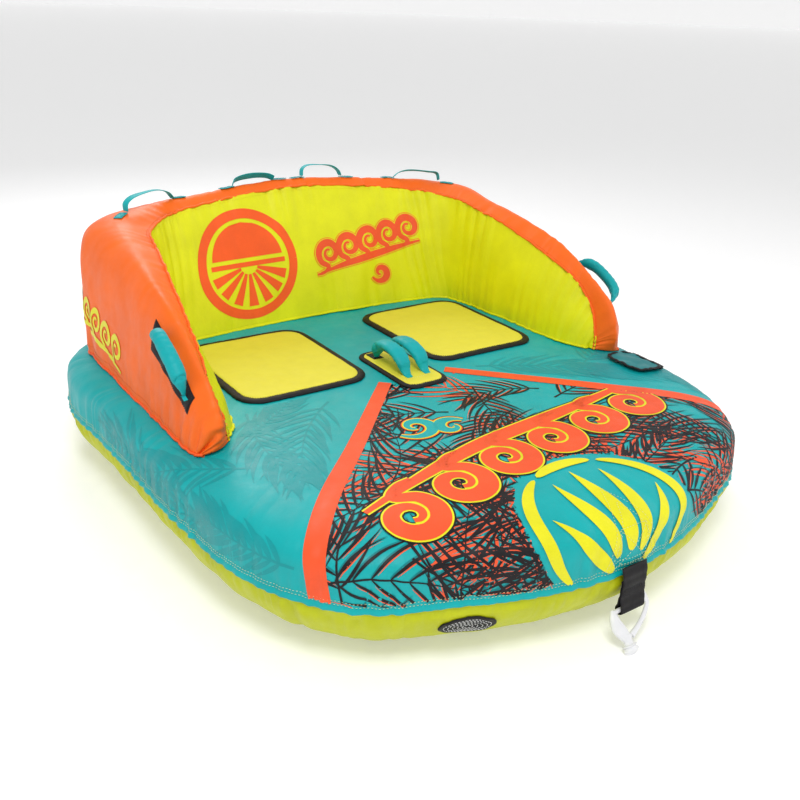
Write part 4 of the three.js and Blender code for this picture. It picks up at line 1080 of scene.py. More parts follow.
def make_centre_grip(side, sign):
    """One of the two padded grips on the centre pad: a gentle rise at the front, a steep drop at the rear."""
    name = f"centre_grip_{side}"
    low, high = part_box(name)
    x = (low.x + high.x) / 2
    floor = JOINTS[name]["pos_m"][2]
    front, rear, top = low.y, high.y, high.z - 0.013
    rise = top - floor
    shape = [(front - 0.012, -0.004), (front + 0.004, 0.0), (front + 0.034, rise * 0.62),
             (front + 0.068, rise * 0.93), (rear - 0.056, rise), (rear - 0.022, rise * 0.80),
             (rear - 0.008, rise * 0.36), (rear - 0.002, -0.002)]
    path = resampled(catmull([(x, y, floor + z) for y, z in shape], np.linspace(0, 1, 400)), 110)
    share = np.linspace(0, 1, len(path))
    fat = smoothstep(share, 0.0, 0.3) * smoothstep(1 - share, 0.0, 0.16)
    _, flat, out = frames_along(path, across=(1, 0, 0))
    cosine, sine = np.cos(turns(44)), np.sin(turns(44))
    fold = 1 - 0.05 * (np.abs(np.sin(np.pi * share * 9 + np.sin(7 * share + sign))) * fat)[:, None]
    half_width = (0.011 + 0.0135 * fat)[:, None] * fold
    half_thick = (0.0035 + 0.0090 * fat)[:, None] * fold
    rings = (path[:, None] + (half_width * np.sign(cosine) * np.abs(cosine) ** 0.8)[..., None] * flat[:, None]
             + (half_thick * np.sign(sine) * np.abs(sine) ** 0.9)[..., None] * out[:, None])
    grip = swept(f"{name}_pad", path, rings, GRIP_TEAL, body=None)

    def ends(points):
        y = points[:, 1]
        return np.maximum(smoothstep(-y, -front - 0.016, -front), smoothstep(y, rear - 0.006, rear))
    swell(grip, ends)
    finish_blend(grip, [name])
    line = path - flat * half_width.max(1)[:, None] * sign * 0.2 + out * half_thick.max(1)[:, None] * 0.99
    thread = stitches(f"{name}_stitching", [(line[12:-10], out[12:-10])], THREAD_TEAL, body=None)
    finish_blend(thread)


def make_centre_trim():
    """The strip sewn over the grips' front ends, and the folded webbing at their rear ends."""
    low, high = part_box("centre_pad")
    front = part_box("centre_grip_left")[0].y
    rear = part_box("centre_grip_left")[1].y
    xs = np.linspace(low.x + 0.006, high.x - 0.006, 40)
    rows = []
    for f in np.linspace(-1, 1, 12):
        y = front - 0.004 + 0.017 * f
        over = 0.0065 * np.exp(-((np.abs(xs) - 0.031) / 0.014) ** 2) * smoothstep(f, -0.8, 0.9)
        points, _ = deck_over(xs, np.full(40, y), 0.0)
        rows.append(points + np.stack([0 * xs, 0 * xs, 0.0096 + over - 0.0012 * (abs(f) > 0.95)], 1))
    strip = new_object("centre_cross_strip", np.stack(rows), grid_faces(12, 40), PAD_YELLOW, slot="yellow_pad")
    tidy_normals(strip)
    lines = [(rows[k] + [0, 0, 0.0006], np.broadcast_to([0, 0, 1.0], (40, 3))) for k in (1, 10)]
    stitches("centre_strip_stitching", lines, THREAD_LIGHT, slot="yellow_pad")
    for side, x in (("left", -0.031), ("right", 0.031)):
        ys = np.linspace(rear - 0.016, rear + 0.030, 16)
        points, normals = deck_over(np.full(16, x), ys, 0.0106)
        webbing(f"centre_foot_{side}", points, np.broadcast_to([1.0, 0, 0], points.shape), normals, 0.0165,
                0.0016, WEB_BLACK, slot="black_webbing")
        box = [(points[2:-2] + [o, 0, 0.0018], normals[2:-2]) for o in (-0.012, 0.012)]
        stitches(f"centre_foot_{side}_stitching", box, THREAD_TEAL, slot="black_webbing")


# ------------------------------------------------------------------ valves

def lathed(name, profile, matrix, material, sides=64, **place):
    """A turned piece from (radius, height) pairs along the matrix's Z, its profile closed on itself."""
    profile = np.array(profile) * MM
    rings = [[(r * math.cos(a), r * math.sin(a), h) for a in turns(sides)] for r, h in profile]
    vertices = np.array(rings).reshape(-1, 3)
    vertices = vertices @ np.array(matrix.to_3x3()).T + np.array(matrix.translation)
    made = new_object(name, vertices, grid_faces(len(profile), sides, wrap=True), material, body=None)
    tidy_normals(made, merge=1e-6)
    apply_modifier(made, "BEVEL", width=0.0005, segments=2, limit_method="ANGLE", angle_limit=math.radians(40))
    finish_piece(made, **place)


def block(name, size, matrix, bevel, segments, body, replaces=()):
    """A bevelled block of white plastic, placed by a matrix."""
    bm = bmesh.new()
    bmesh.ops.create_cube(bm, size=1)
    bmesh.ops.scale(bm, vec=size, verts=bm.verts)
    mesh = bpy.data.meshes.new(name)
    bm.to_mesh(mesh)
    bm.free()
    mesh.transform(matrix)
    mesh.materials.append(VALVE_WHITE)
    made = linked(name, mesh)
    apply_modifier(made, "BEVEL", width=bevel, segments=segments)
    finish_piece(made, body, "white_plastic", replaces)


def axis_matrix(at, z):
    """A frame at a point whose Z runs along an axis."""
    z = Vector(z).normalized()
    y = z.cross(Vector((1, 0, 0))).normalized()
    x = y.cross(z)
    matrix = Matrix((x, y, z)).transposed().to_4x4()
    matrix.translation = Vector(at)
    return matrix


def make_valve(prefix):
    """A valve seen from outside inwards: cap, housing flange, threaded insert and membrane."""
    joint = JOINTS[f"{prefix}_cap"]
    matrix = axis_matrix(joint["pos_m"], joint["axis"])
    body = [(13, -24), (20, -24), (20, 0.4), (26, 0.5), (27, 0.9), (27, 1.6), (26, 2.2), (13, 2.2), (13, -24)]
    thread = [(12.6 - 0.5 * (k % 2), -20 + 1.3 * k) for k in range(17)]
    core = [(6, -20), *thread, (12.4, 2.2), (6, 2.2), (6, -20)]
    disc = [(0.01, -23), (11.6, -23), (11.6, -20.8), (0.01, -20.8)]
    lid = [(0.01, -6), (5.5, -6), (5.5, 2.7), (21, 2.7), (22, 3.2), (22, 4.2), (21, 4.9), (17, 4.9),
           (16.4, 4.4), (13, 4.4), (12.4, 4.9), (0.01, 4.9)]
    cap = f"{prefix}_cap"
    for name, profile, material, on, slot, node in (
            ("housing", body, VALVE_WHITE, "tube", "white_plastic", f"{prefix}_body"),
            ("threaded_insert", core, VALVE_WHITE, "tube", "white_plastic", f"{prefix}_insert"),
            ("flap_disc", disc, RUBBER, "tube", "valve_membrane", f"{prefix}_membrane"),
            ("lid", lid, VALVE_WHITE, cap, "white_plastic", cap)):
        lathed(f"{prefix}_{name}", profile, matrix, material, body=on, slot=slot, replaces=[node])
    on_lid = matrix @ Matrix.Translation((0, 0, 0.0058))
    block(f"{prefix}_lid_grip", (0.0255, 0.0046, 0.0032), on_lid, 0.0012, 3, cap)


def make_flap():
    """The fabric cover over the deck valve, bound in black, on its hem."""
    low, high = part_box("valve_flap")
    hinge_x = JOINTS["valve_flap"]["pos_m"][0]
    height = 0.0105
    outline = rounded_outline(low.x, hinge_x - 0.002, low.y, high.y, 0.030, 0.005)
    centre = outline.mean(0)
    rings = []
    for share in np.linspace(1, 0.04, 14):
        ring = centre + (outline - centre) * share
        ripple = 0.0016 * np.sin(ring[:, 0] * 90 + 2 * np.sin(ring[:, 1] * 60)) * share
        rings.append(deck_over(ring[:, 0], ring[:, 1], height + ripple)[0])
    count = len(outline)
    vertices = np.concatenate(rings + [deck_over(centre[:1], centre[1:], height)[0]])
    faces = grid_faces(len(rings), count, wrap=True).tolist()
    faces += fan_faces(len(vertices) - 1, (len(rings) - 1) * count, count)
    flap = new_object("valve_flap_cover", vertices, faces, TEAL_DEEP, body=None)
    tidy_normals(flap)
    apply_modifier(flap, "SOLIDIFY", thickness=0.002, offset=0)
    finish_piece(flap, "valve_flap", "teal_cover", ["valve_flap"])
    edge, normal = deck_over(outline[:, 0], outline[:, 1], height)
    s = arc_lengths(edge)
    edge = edge + normal * (0.0016 * wander(s, 77, 0.02, 0.06))[:, None]
    pull = 1 + 0.12 * wander(s, 78, 0.01, 0.03)[:, None, None]
    bound_edge("valve_flap_binding", edge, normal, 0.0060, 0.0026, pull, body="valve_flap")
    ys = np.linspace(low.y + 0.010, high.y - 0.010, 40)
    points, normals = deck_over(np.full(40, hinge_x + 0.004), ys, 0.006)
    webbing("valve_hem", points, np.broadcast_to([1.0, 0, 0], points.shape), normals, 0.0075, 0.0048, BINDING,
            slot="black_webbing", replaces=["valve_flap_hem"])


def make_vent():
    """The drain vent in the lower cover: open net with rings of light stitching and a bound edge."""
    low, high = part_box("drain_vent_binding")
    centre = np.array([(low.x + high.x) / 2, (low.y + high.y) / 2]) - SHIFT[:2]
    angle0 = math.atan2(centre[0], -centre[1])
    depth0 = float(np.interp(SEAM_Z - (low.z + high.z) / 2, [0, 0.139], [0, 0.150]))
    wide, tall, count = 0.058, 0.029, 96
    per_angle = float(radius_at(angle0))

    def ring(share, lift, more=0.0):
        turn = turns(count)
        return lower_at(angle0 + (wide * share + more) * np.cos(turn) / per_angle,
                        depth0 + (tall * share + more) * np.sin(turn), lift)
    rows = [ring(share, 0.0022 + 0.0012 * math.sin(share * 3))[0] for share in np.linspace(1, 0.02, 24)]
    net = new_object("drain_vent_net", np.concatenate(rows), grid_faces(len(rows), count, wrap=True), NET,
                     uv=np.stack(np.meshgrid(np.linspace(0, 0.3, count), np.linspace(0, 0.03, 24)), -1),
                     slot="vent_mesh", replaces=["drain_vent_mesh"])
    tidy_normals(net)
    bound_edge("drain_vent_edge", *ring(1, 0.0025, 0.002), 0.0052, 0.0024, replaces=["drain_vent_binding"])
    lines = []
    for share in (0.22, 0.40, 0.58, 0.76, 0.92):
        lines.append([np.concatenate([part, part[:1]]) for part in ring(share, 0.0040)])
    stitches("drain_vent_stitching", lines, THREAD_WHITE, length=0.0060, gap=0.0016, radius=0.0010,
             slot="vent_mesh")


# ------------------------------------------------------------------ tow point

def make_tow_point():
    """Two plies of webbing folded round the hook's bar, box-stitched to the nose."""
    low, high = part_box("tow_strap")
    _, y0, top = JOINTS["tow_strap"]["pos_m"]
    eye_z = JOINTS["quick_hook"]["pos_m"][2]
    half = (high.x - low.x) / 2
    radius = 0.0095                         # of the eye round the hook's bar
    line = [(y0 + 0.0048, top + 0.030), (y0 - 0.0022, top + 0.002)]
    line += [(y0 - 0.0024, eye_z + 0.034), (y0 - 0.006, eye_z + 0.014)]
    line += [(y0 - radius * math.cos(a), eye_z - radius * math.sin(a))
             for a in np.radians([0, 40, 90, 140, 180])]
    line += [(y0 + 0.006, eye_z + 0.014), (y0 + 0.0024, eye_z + 0.034), (y0 + 0.0022, top - 0.003)]
    path = resampled(catmull([(0, y, z) for y, z in line], np.linspace(0, 1, 500)), 120)
    path[:, 1] += 0.0007 * np.sin(path[:, 2] * 260)
    _, side, out = frames_along(path, across=(1, 0, 0))
    half_width = half * (1 - 0.02 * np.cos(path[:, 2] * 90))
    strap = webbing("tow_strap_webbing", path, side, out, half_width, 0.0017, WEB_BLACK, body=None)
    finish_blend(strap,
                 ["tow_strap", "tow_anchor"])
    edge, z_low, z_high = half - 0.008, eye_z + 0.036, eye_z + 0.052
    front = y0 - 0.0044
    ahead = np.array([0, -1.0, 0])
    lines = [(np.stack([(x, front, z) for x in np.linspace(-edge, edge, 20)]), ahead) for z in (z_low, z_high)]
    lines += [(np.stack([(x, front, z) for z in np.linspace(z_low, z_high, 6)]), ahead) for x in (-edge, edge)]
    stitches("tow_strap_stitching", lines, THREAD_BLACK, body="tow_strap")


def make_hook():
    """The quick hook: a bar in the strap's eye, a fat lobe, a thin arm, a neck and a flanged rounded end."""
    node = np.array([v.co for v in frame["nodes"]["quick_hook"].data.vertices])
    pivot = np.array(JOINTS["quick_hook"]["pos_m"])
    far = node[np.argmin(node[:, 2])] - pivot
    pitch = math.atan2(-far[1], -far[2])
    down = np.array([0, -math.sin(pitch), -math.cos(pitch)])
    x_axis = np.array([1.0, 0, 0])

    thick = np.cross(x_axis, down)
    rows, count = 60, 20

    def rod(points, radii, flat):
        """Rings of a rod through (x, height) points in mm, with its radii in mm and its flatness."""
        line = [pivot + x_axis * x * MM - down * z * MM for x, z in points]
        line = resampled(catmull(line, np.linspace(0, 1, 300)), rows)
        size = np.interp(np.linspace(0, 1, rows), np.linspace(0, 1, len(radii)), radii) * MM
        side = unit(np.cross(unit(np.gradient(line, axis=0)), thick))
        angle = turns(count)[None, :, None]
        section = np.cos(angle) * side[:, None] + flat * np.sin(angle) * thick
        return line[:, None] + size[:, None, None] * section
    parts = [
        rod([(-51, 0), (0, 0), (51, 0)], [5.5, 5.5], flat=1.0),
        rod([(-51, 5), (-56, -12), (-56, -30), (-49, -48), (-42, -62)], [7, 13, 17, 17, 13], flat=0.62),
        rod([(51, 22), (52, 4), (50, -10), (36, -24), (10, -42), (-28, -60)], [4.6, 5.4, 6, 6, 6.5, 8],
            flat=0.85),
        rod([(-42, -54), (-43, -66), (-43, -80)], [14, 11, 12], flat=0.75),
        rod([(-43, -74), (-43, -76), (-43, -79), (-43, -80)], [10, 20, 20, 10], flat=0.7),
        rod([(-43, -79), (-43, -83), (-43, -90), (-43, -95), (-43, -97)], [12, 20, 21, 14, 3], flat=0.65),
    ]
    faces = []
    for first in range(0, len(parts) * rows * count, rows * count):
        faces += grid_faces(rows, count, wrap=True, first=first).tolist()
        faces.append([first + j for j in range(count)][::-1])
        faces.append([first + (rows - 1) * count + j for j in range(count)])
    hook = new_object("tow_hook_body", np.stack(parts), faces, WHITE_PLASTIC, body=None)
    tidy_normals(hook)
    apply_modifier(hook, "REMESH", mode="VOXEL", voxel_size=0.0011)
    apply_modifier(hook, "SMOOTH", factor=0.6, iterations=6)
    shade_smooth(hook)
    finish_piece(hook, "quick_hook", "white_plastic", ["quick_hook"])


def make_tow_patch():
    """Rows and a long triangle of light stitching where the strap's webbing is sewn behind the nose."""
    length = SECTION_LENGTH - MEAN_RADIUS + float(radius_at(0.0))
    edge, tip = length - 0.018, length - 0.215
    wide, half, deep = 0.088, 0.04, 0.085
    shapes = [
        [(-wide, -edge), (0.0, -tip), (wide, -edge), (-wide, -edge)],
        [(-wide + 0.02, -edge + 0.012), (0.0, -tip - 0.05), (wide - 0.02, -edge + 0.012),
         (-wide + 0.02, -edge + 0.012)],
        [(-half, -edge), (-half, -edge + deep), (half, -edge + deep), (half, -edge)],
        [(-half, -edge), (half, -edge + deep)],
        [(half, -edge), (-half, -edge + deep)],
    ]
    lines = [deck_plan(resampled(shape, 60), 0.0026) for shape in shapes]
    made = stitches("tow_patch_stitching", lines, THREAD_LIGHT, length=0.0048, gap=0.003, slot="teal_cover")
    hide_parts("tow_patch")


def make_zip(prefix, place):
    """A zip along a seam: two tapes, two rows of teeth, and a slider with its pull. `place` gives the surface's
    points at each x and one height."""
    spread = 8                              # points to each side that smooth out the cover's folds
    low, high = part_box(prefix)
    xs = np.linspace(low.x, high.x, 120)
    z = (low.z + high.z) / 2
    points, normals = place(xs, z)
    points = points + normals * 0.0035
    kernel = np.full(2 * spread + 1, 1 / (2 * spread + 1))
    points[:, 1] = np.convolve(np.pad(points[:, 1], spread, mode="edge"), kernel, mode="valid")
    points[:, 2] = z
    normals = np.broadcast_to([0.0, 1.0, 0.0], points.shape)
    for sign, name in ((-1, "lower"), (1, "upper")):
        line = points + np.array([0, 0, 0.0062 * sign]) + normals * 0.0008
        webbing(f"{prefix}_{name}_tape", line, np.broadcast_to([0, 0, 1.0], line.shape), normals, 0.0046,
                0.0007, WEB_BLACK, slot="black_webbing", replaces=[prefix] if sign < 0 else ())
    teeth = [(points + np.array([0, 0, 0.0009 * s]) + normals * 0.0010, normals) for s in (-1, 1)]
    stitches(f"{prefix}_teeth", teeth, RUBBER, length=0.0020, gap=0.0010, radius=0.0011, slot="black_webbing")
    slider_low, slider_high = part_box(f"{prefix}_slider")
    at = int(np.argmin(np.abs(xs - (slider_low.x + slider_high.x) / 2)))
    slider = f"{prefix}_slider"
    for part, size, stand, drop, replaces in (
            ("body", (0.0100, 0.0030, 0.0110), 0.0026, 0.0, [slider]),
            ("pull", (0.0046, 0.0016, 0.0230), 0.0046, -0.0135, ())):
        place_at = points[at] + normals[at] * stand + np.array([0, 0, drop])
        block(f"{slider}_{part}", size, Matrix.Translation(Vector(place_at)), 0.0007, 2, slider, replaces)


# ------------------------------------------------------------------ printing

class Print:
    """One colour of print on one surface: flat shapes laid on it, gathered into a single piece."""

    def __init__(self, name, place, material, lift, slot, keep=None):
        self.name, self.place, self.material, self.lift = name, place, material, lift
        self.slot, self.keep = slot, keep
        self.points, self.faces, self.count = [], [], 0

    def ribbon(self, line, width, step=0.006):
        """A band along a line; width is its half width at each share of the line, or one number."""
        line = np.asarray(line, float)
        length = arc_lengths(line)[-1]
        rows = max(int(length / step), 3)
        line = resampled(line, rows)
        share = np.linspace(0, 1, rows)
        half = width(share) if callable(width) else np.full(rows, float(width))
        tangent = unit(np.gradient(line, axis=0))
        side = np.stack([-tangent[:, 1], tangent[:, 0]], 1)
        columns = max(int(2 * half.max() / 0.006), 1) + 1
        across = np.linspace(-1, 1, columns)
        grid = line[:, None] + side[:, None] * (half[:, None] * across)[..., None]
        faces = grid_faces(rows, columns)
        if self.keep is not None:
            good = self.keep(grid.reshape(-1, 2))
            faces = faces[good[faces].all(1)]
        self.points.append(grid.reshape(-1, 2))
        self.faces.append(faces + self.count)
        self.count += rows * columns

    def disc(self, centre, radius, start=-1.0, end=1.0):
        """A filled disc, or the part of it between two heights given as shares of its radius."""
        centre = np.array(centre, float)
        line = centre + np.array([[0, start], [0, end]]) * radius
        self.ribbon(line, lambda t: radius * np.sqrt(np.clip(1 - (start + (end - start) * t) ** 2, 0, 1)))

    def ring(self, centre, radius, width, start=0, end=360):
        turn = np.radians(np.linspace(start, end, 120))
        self.ribbon(np.array(centre) + radius * np.stack([np.cos(turn), np.sin(turn)], 1), width)

    def make(self):
        points = np.concatenate(self.points)
        faces = np.concatenate(self.faces)
        used, faces = np.unique(faces, return_inverse=True)
        faces = faces.reshape(-1, 4)
        points = points[used]
        placed, _ = self.place(points, self.lift)
        return new_object(self.name, placed, faces, self.material, uv=points, slot=self.slot)


def tapered(width, root=0.25):
    """A leaf's half width: narrow at its root, widest a third of the way, and pointed."""
    return lambda t: width * (root * (1 - t) + np.sin(np.pi * t ** 0.7) ** 0.9 * (1 - root * 0.5))


def frond(base, heading, length, bend, rng, leaflets=16, spread=52, reach=0.42):
    """The lines of a palm frond: its midrib first, then its leaflets, all curving to the tip."""
    t = np.linspace(0, 1, 40)
    turn = math.radians(heading) + math.radians(bend) * t
    steps = np.stack([np.cos(turn), np.sin(turn)], 1) * length / 39
    rib = np.array(base) + np.cumsum(steps, axis=0) - steps[0]
    lines = [rib]
    for n in range(leaflets):
        at = 0.10 + 0.86 * n / leaflets
        root = np.array([np.interp(at, t, rib[:, 0]), np.interp(at, t, rib[:, 1])])
        for side in (-1, 1):
            size = length * reach * math.sin(math.pi * (0.12 + 0.80 * at)) ** 0.7 * (0.85 + 0.3 * rng.random())
            first = np.interp(at, t, turn) + side * math.radians(spread * (1 - 0.45 * at) + 8 * rng.random())
            curl = -side * math.radians(22 + 16 * rng.random())
            k = np.linspace(0, 1, 14)
            heading_k = first + curl * k
            move = np.stack([np.cos(heading_k), np.sin(heading_k)], 1) * size / 13
            lines.append(root + np.cumsum(move, axis=0) - move[0])
    return lines


def scroll(centre, size, start, windings):
    """A curl that winds inward from a long outer tail."""
    t = np.linspace(0, 1, 70)
    angle = math.radians(start) + 2 * np.pi * windings * t
    radius = size * (1 - 0.84 * t ** 0.8)
    return np.array(centre) + np.stack([radius * np.cos(angle), radius * np.sin(angle)], 1)


def running_scrolls(line, count, size, flip=1):
    """A row of wave scrolls along a line: each rises from the one before and curls over."""
    line = resampled(line, 200)
    curves = []
    for n in range(count):
        at = int(199 * (n + 0.55) / count)
        middle = line[at]
        ahead = unit(line[min(at + 4, 199)] - line[max(at - 4, 0)])
        up_way = np.array([-ahead[1], ahead[0]]) * flip
        t = np.linspace(0, 1, 80)
        turn = np.radians(250 - 560 * t)
        radius = size * (1.0 - 0.80 * t ** 0.9)
        curl = middle + up_way * size * 0.15 + (np.cos(turn) * radius)[:, None] * ahead \
            + (np.sin(turn) * radius)[:, None] * up_way
        tail = curl[0] - ahead * size * 1.1 - up_way * size * 0.25
        lead = np.stack([tail, (tail + curl[0]) / 2 - up_way * size * 0.16])
        curves.append(catmull(np.concatenate([lead, curl[::6]]), np.linspace(0, 1, 140)))
    return curves


def swelling(width):
    """A curl's half width: narrow at both ends, and fullest in the middle."""
    return lambda t: width * (0.30 + 0.95 * np.sin(np.pi * np.clip(t * 0.93 + 0.04, 0, 1)) ** 1.3)


def layered(name, place, curves, layers, slot, keep=None):
    """The same curves printed in several colours, the widest underneath."""
    for number, (material, width, extra, lift) in enumerate(layers):
        colour = Print(f"{name}_{number}", place, material, lift, slot, keep)
        for curve in curves:
            colour.ribbon(curve, lambda t, w=width, e=extra: swelling(w)(t) + e, 0.004)
        colour.make()


STRIPE_LEFT = np.array([(-60, 14), (-100, -30), (-372, -316), (-531, -473), (-640, -600), (-760, -760)]) * MM
STRIPE_RIGHT = np.array([(62, 10), (104, -34), (296, -229), (415, -346), (571, -499), (700, -630),
                         (800, -740)]) * MM


def between_stripes(points, margin):
    """How far each place lies inside the left stripe and inside the right one, less a margin."""
    left, right = (np.interp(points[:, 1], stripe[::-1, 1], stripe[::-1, 0])
                   for stripe in (STRIPE_LEFT, STRIPE_RIGHT))
    return points[:, 0] - left - margin, right - margin - points[:, 0]


def in_v(points):
    """Inside the printed triangle between the two stripes, clear of the centre pad."""
    from_left, from_right = between_stripes(points, 0.018)
    clear_of_pad = (points[:, 1] < -0.060) | (np.abs(points[:, 0]) > 0.080)
    return ((from_left > 0) & (from_right > 0) & (plan_reach(points) < REACH) & clear_of_pad
            & (points[:, 1] < -0.02))


# How far each colour of the deck's print stands off the cover, so that none shows through the one above it.
SHADE_LIFT, CORAL_LIFT, INK_LIFT, STRIPE_LIFT, EMBLEM_LIFT = 0.0005, 0.0007, 0.0009, 0.0013, 0.0022
REACH = 0.997                               # the print ends at this share of the way to the seam
EMBLEM = np.array([-0.010, -0.835])
EMBLEM_RADIUS = 0.232


def in_palms(points):
    """The part of the triangle round the emblem at the nose."""
    return in_v(points) & (np.linalg.norm(points - EMBLEM, axis=1) > EMBLEM_RADIUS)


def above_hem(points):
    return plan_reach(points) < 0.998


def in_emblem(points):
    return above_hem(points) & (np.linalg.norm(points - EMBLEM, axis=1) < EMBLEM_RADIUS - 0.008)


def outside_v(points):
    """The plain fields beside the triangle, clear of the pads and of the backrest."""
    from_left, from_right = between_stripes(points, -0.03)
    beside = (from_left < 0) | (from_right < 0) | (points[:, 1] > 0.0)
    pads = ((np.abs(np.abs(points[:, 0]) - PAD_MIDDLE_X) < PAD_CLEAR_X)
            & (np.abs(points[:, 1] - PAD_MIDDLE_Y) < PAD_CLEAR_Y))
    middle = (np.abs(points[:, 0]) < 0.085) & (points[:, 1] > -0.12)
    return beside & ~pads & ~middle & (plan_reach(points) < REACH)


def make_deck_print():
    """Palm fronds between two stripes, a row of curls, a fan of leaves at the nose, and faint leaves beside."""
    rng = np.random.default_rng(2024)
    slot = "teal_cover"
    stripes = Print("deck_stripes", deck_plan, CORAL, STRIPE_LIFT, slot, above_hem)
    for line in (STRIPE_LEFT, STRIPE_RIGHT):
        stripes.ribbon(catmull(line[1:], np.linspace(0, 1, 200)), lambda t: 0.0185 + 0.008 * t, 0.005)
    stripes.make()
    shadow = Print("deck_leaf_shadows", deck_plan, TEAL_SHADOW, SHADE_LIFT, slot, outside_v)
    for base, heading, length, bend in (
            ((-0.30, -0.06), 215, 0.46, 40), ((-0.62, -0.28), 150, 0.42, -50), ((-0.52, -0.02), 250, 0.40, 30),
            ((-0.80, -0.42), 95, 0.40, 25), ((-0.70, -0.60), 120, 0.34, -30), ((-0.86, -0.10), 80, 0.42, 20),
            ((0.20, -0.06), -20, 0.42, -35), ((0.50, -0.20), 30, 0.40, -40), ((0.72, -0.40), 80, 0.42, 20),
            ((0.42, -0.14), -60, 0.36, 40), ((0.84, -0.14), 100, 0.42, -25), ((0.74, -0.56), 110, 0.36, -30),
            ((-0.93, 0.35), 250, 0.40, 30), ((0.93, 0.35), -70, 0.40, -30), ((-0.60, -0.14), 20, 0.30, 30),
            ((-0.88, 0.62), 100, 0.36, -20), ((0.88, 0.62), 80, 0.36, 20), ((-0.4, 1.0), 10, 0.4, 10),
            ((0.4, 1.0), 170, 0.4, -10), ((0.1, 1.02), 0, 0.4, 0)):
        lines = frond(base, heading, length, bend, rng, leaflets=13, reach=0.36)
        shadow.ribbon(lines[0], lambda t: 0.0035 * (1.1 - t), 0.010)
        for leaf in lines[1:]:
            shadow.ribbon(leaf, tapered(0.0062), 0.010)
    shadow.make()
    black = Print("deck_palm_black", deck_plan, INK, INK_LIFT, slot, in_palms)
    coral = Print("deck_palm_coral", deck_plan, CORAL, CORAL_LIFT, slot, in_palms)
    deep = Print("deck_palm_shade", deck_plan, TEAL_DEEP, SHADE_LIFT, slot, in_palms)
    fronds = []
    for row, y in enumerate(np.linspace(-0.10, -1.04, 11)):
        span = min(0.10 + 0.92 * abs(y), 0.80)
        count = 3 + int(span / 0.14)
        for k in range(count):
            x = -span + 2 * span * (k + 0.5 * (row % 2) + 0.3 * rng.random()) / count
            fronds.append(((x, y + 0.05 * rng.random()), 360 * rng.random(), 0.26 + 0.20 * rng.random(),
                           70 * (rng.random() * 2 - 1)))
    for n, (base, heading, length, bend) in enumerate(fronds):
        lines = frond(base, heading, length, bend, rng, leaflets=10, reach=0.52)
        ink, accent = (coral, black) if n % 4 == 3 else (black, coral)
        ink.ribbon(lines[0], lambda t: 0.0026 * (1.15 - t), 0.008)
        for index, leaf in enumerate(lines[1:]):
            if index % 2:
                deep.ribbon(leaf + 0.003, tapered(0.0050), 0.010)
            ink.ribbon(leaf, tapered(0.0036), 0.010)
            if index % 3 == 0:
                continue
            offset = unit(np.gradient(leaf, axis=0))[:, ::-1] * (0.0050, -0.0050)
            accent.ribbon(leaf[1:-1] + offset[1:-1], tapered(0.0013), 0.010)
    for colour in (deep, black, coral):
        colour.make()
    light = Print("deck_emblem", deck_plan, PRINT_YELLOW, EMBLEM_LIFT, slot, in_emblem)
    for start, end in ((118, 215), (66, 114), (-35, 62)):
        light.ring(EMBLEM, EMBLEM_RADIUS - 0.028, lambda t: 0.016 * np.sin(np.pi * t) ** 0.4, start, end)
    root = EMBLEM + (0.0, -0.175)
    for degrees, size, wide in ((90, 0.345, 0.021), (113, 0.330, 0.019), (67, 0.330, 0.019),
                                (136, 0.275, 0.017), (44, 0.275, 0.017)):
        turn = math.radians(degrees)
        k = np.linspace(0.26, 1, 40)[:, None]
        sweep = turn + 0.25 * (k - 0.26) * np.sign(90 - degrees)
        leaf = root + size * k * np.concatenate([np.cos(sweep), np.sin(sweep)], 1)
        light.ribbon(leaf, tapered(wide), 0.005)
    light.make()
    baseline = np.array([(0.50, -0.44), (0.30, -0.475), (0.10, -0.505), (-0.12, -0.535), (-0.32, -0.585),
                         (-0.50, -0.640)])
    baseline = catmull(baseline, np.linspace(0, 1, 200))
    curves = running_scrolls(baseline, 6, 0.078, flip=1)
    curves.append(baseline + (0.0, 0.072))
    layers = ((INK, 0.0190, 0.0085, 0.0016), (PRINT_YELLOW, 0.0190, 0.0045, 0.0020),
              (CORAL, 0.0190, 0.0, 0.0024))
    layered("deck_curls", deck_plan, curves, layers, slot, in_v)
    curl = [scroll((-0.185, -0.300), 0.062, 200, 1.15), scroll((-0.105, -0.345), 0.048, 20, 1.0)]
    layers = ((INK, 0.0120, 0.0095, 0.0014), (CORAL, 0.0120, 0.0065, 0.0017),
              (PRINT_YELLOW, 0.0120, 0.0035, 0.0020), (TEAL, 0.0120, 0.0, 0.0023))
    layered("deck_small_curl", deck_plan, curl, layers, slot, in_v)


def wall_plan(points, lift=0.0):
    """Places on the inner panel: distance along it from its middle, and height above its foot."""
    row = np.interp(points[:, 0] + WALL_S[-1] / 2, WALL_S, np.arange(len(WALL)))
    length = np.interp(row, np.arange(len(WALL)), WALL_D[:, -1])
    return wall_place(row, points[:, 1] / length * (WALL.shape[1] - 1), lift)


def cover_plan(points, lift=0.0):
    """Places on the outer cover: distance along it from the left arm's toe, and distance up from its foot."""
    row = np.interp(points[:, 0], COVER_S, np.arange(len(COVER)))
    length = np.interp(row, np.arange(len(COVER)), COVER_D[:, -1])
    return cover_place(row, (1 - points[:, 1] / length) * (COVER.shape[1] - 1), lift)


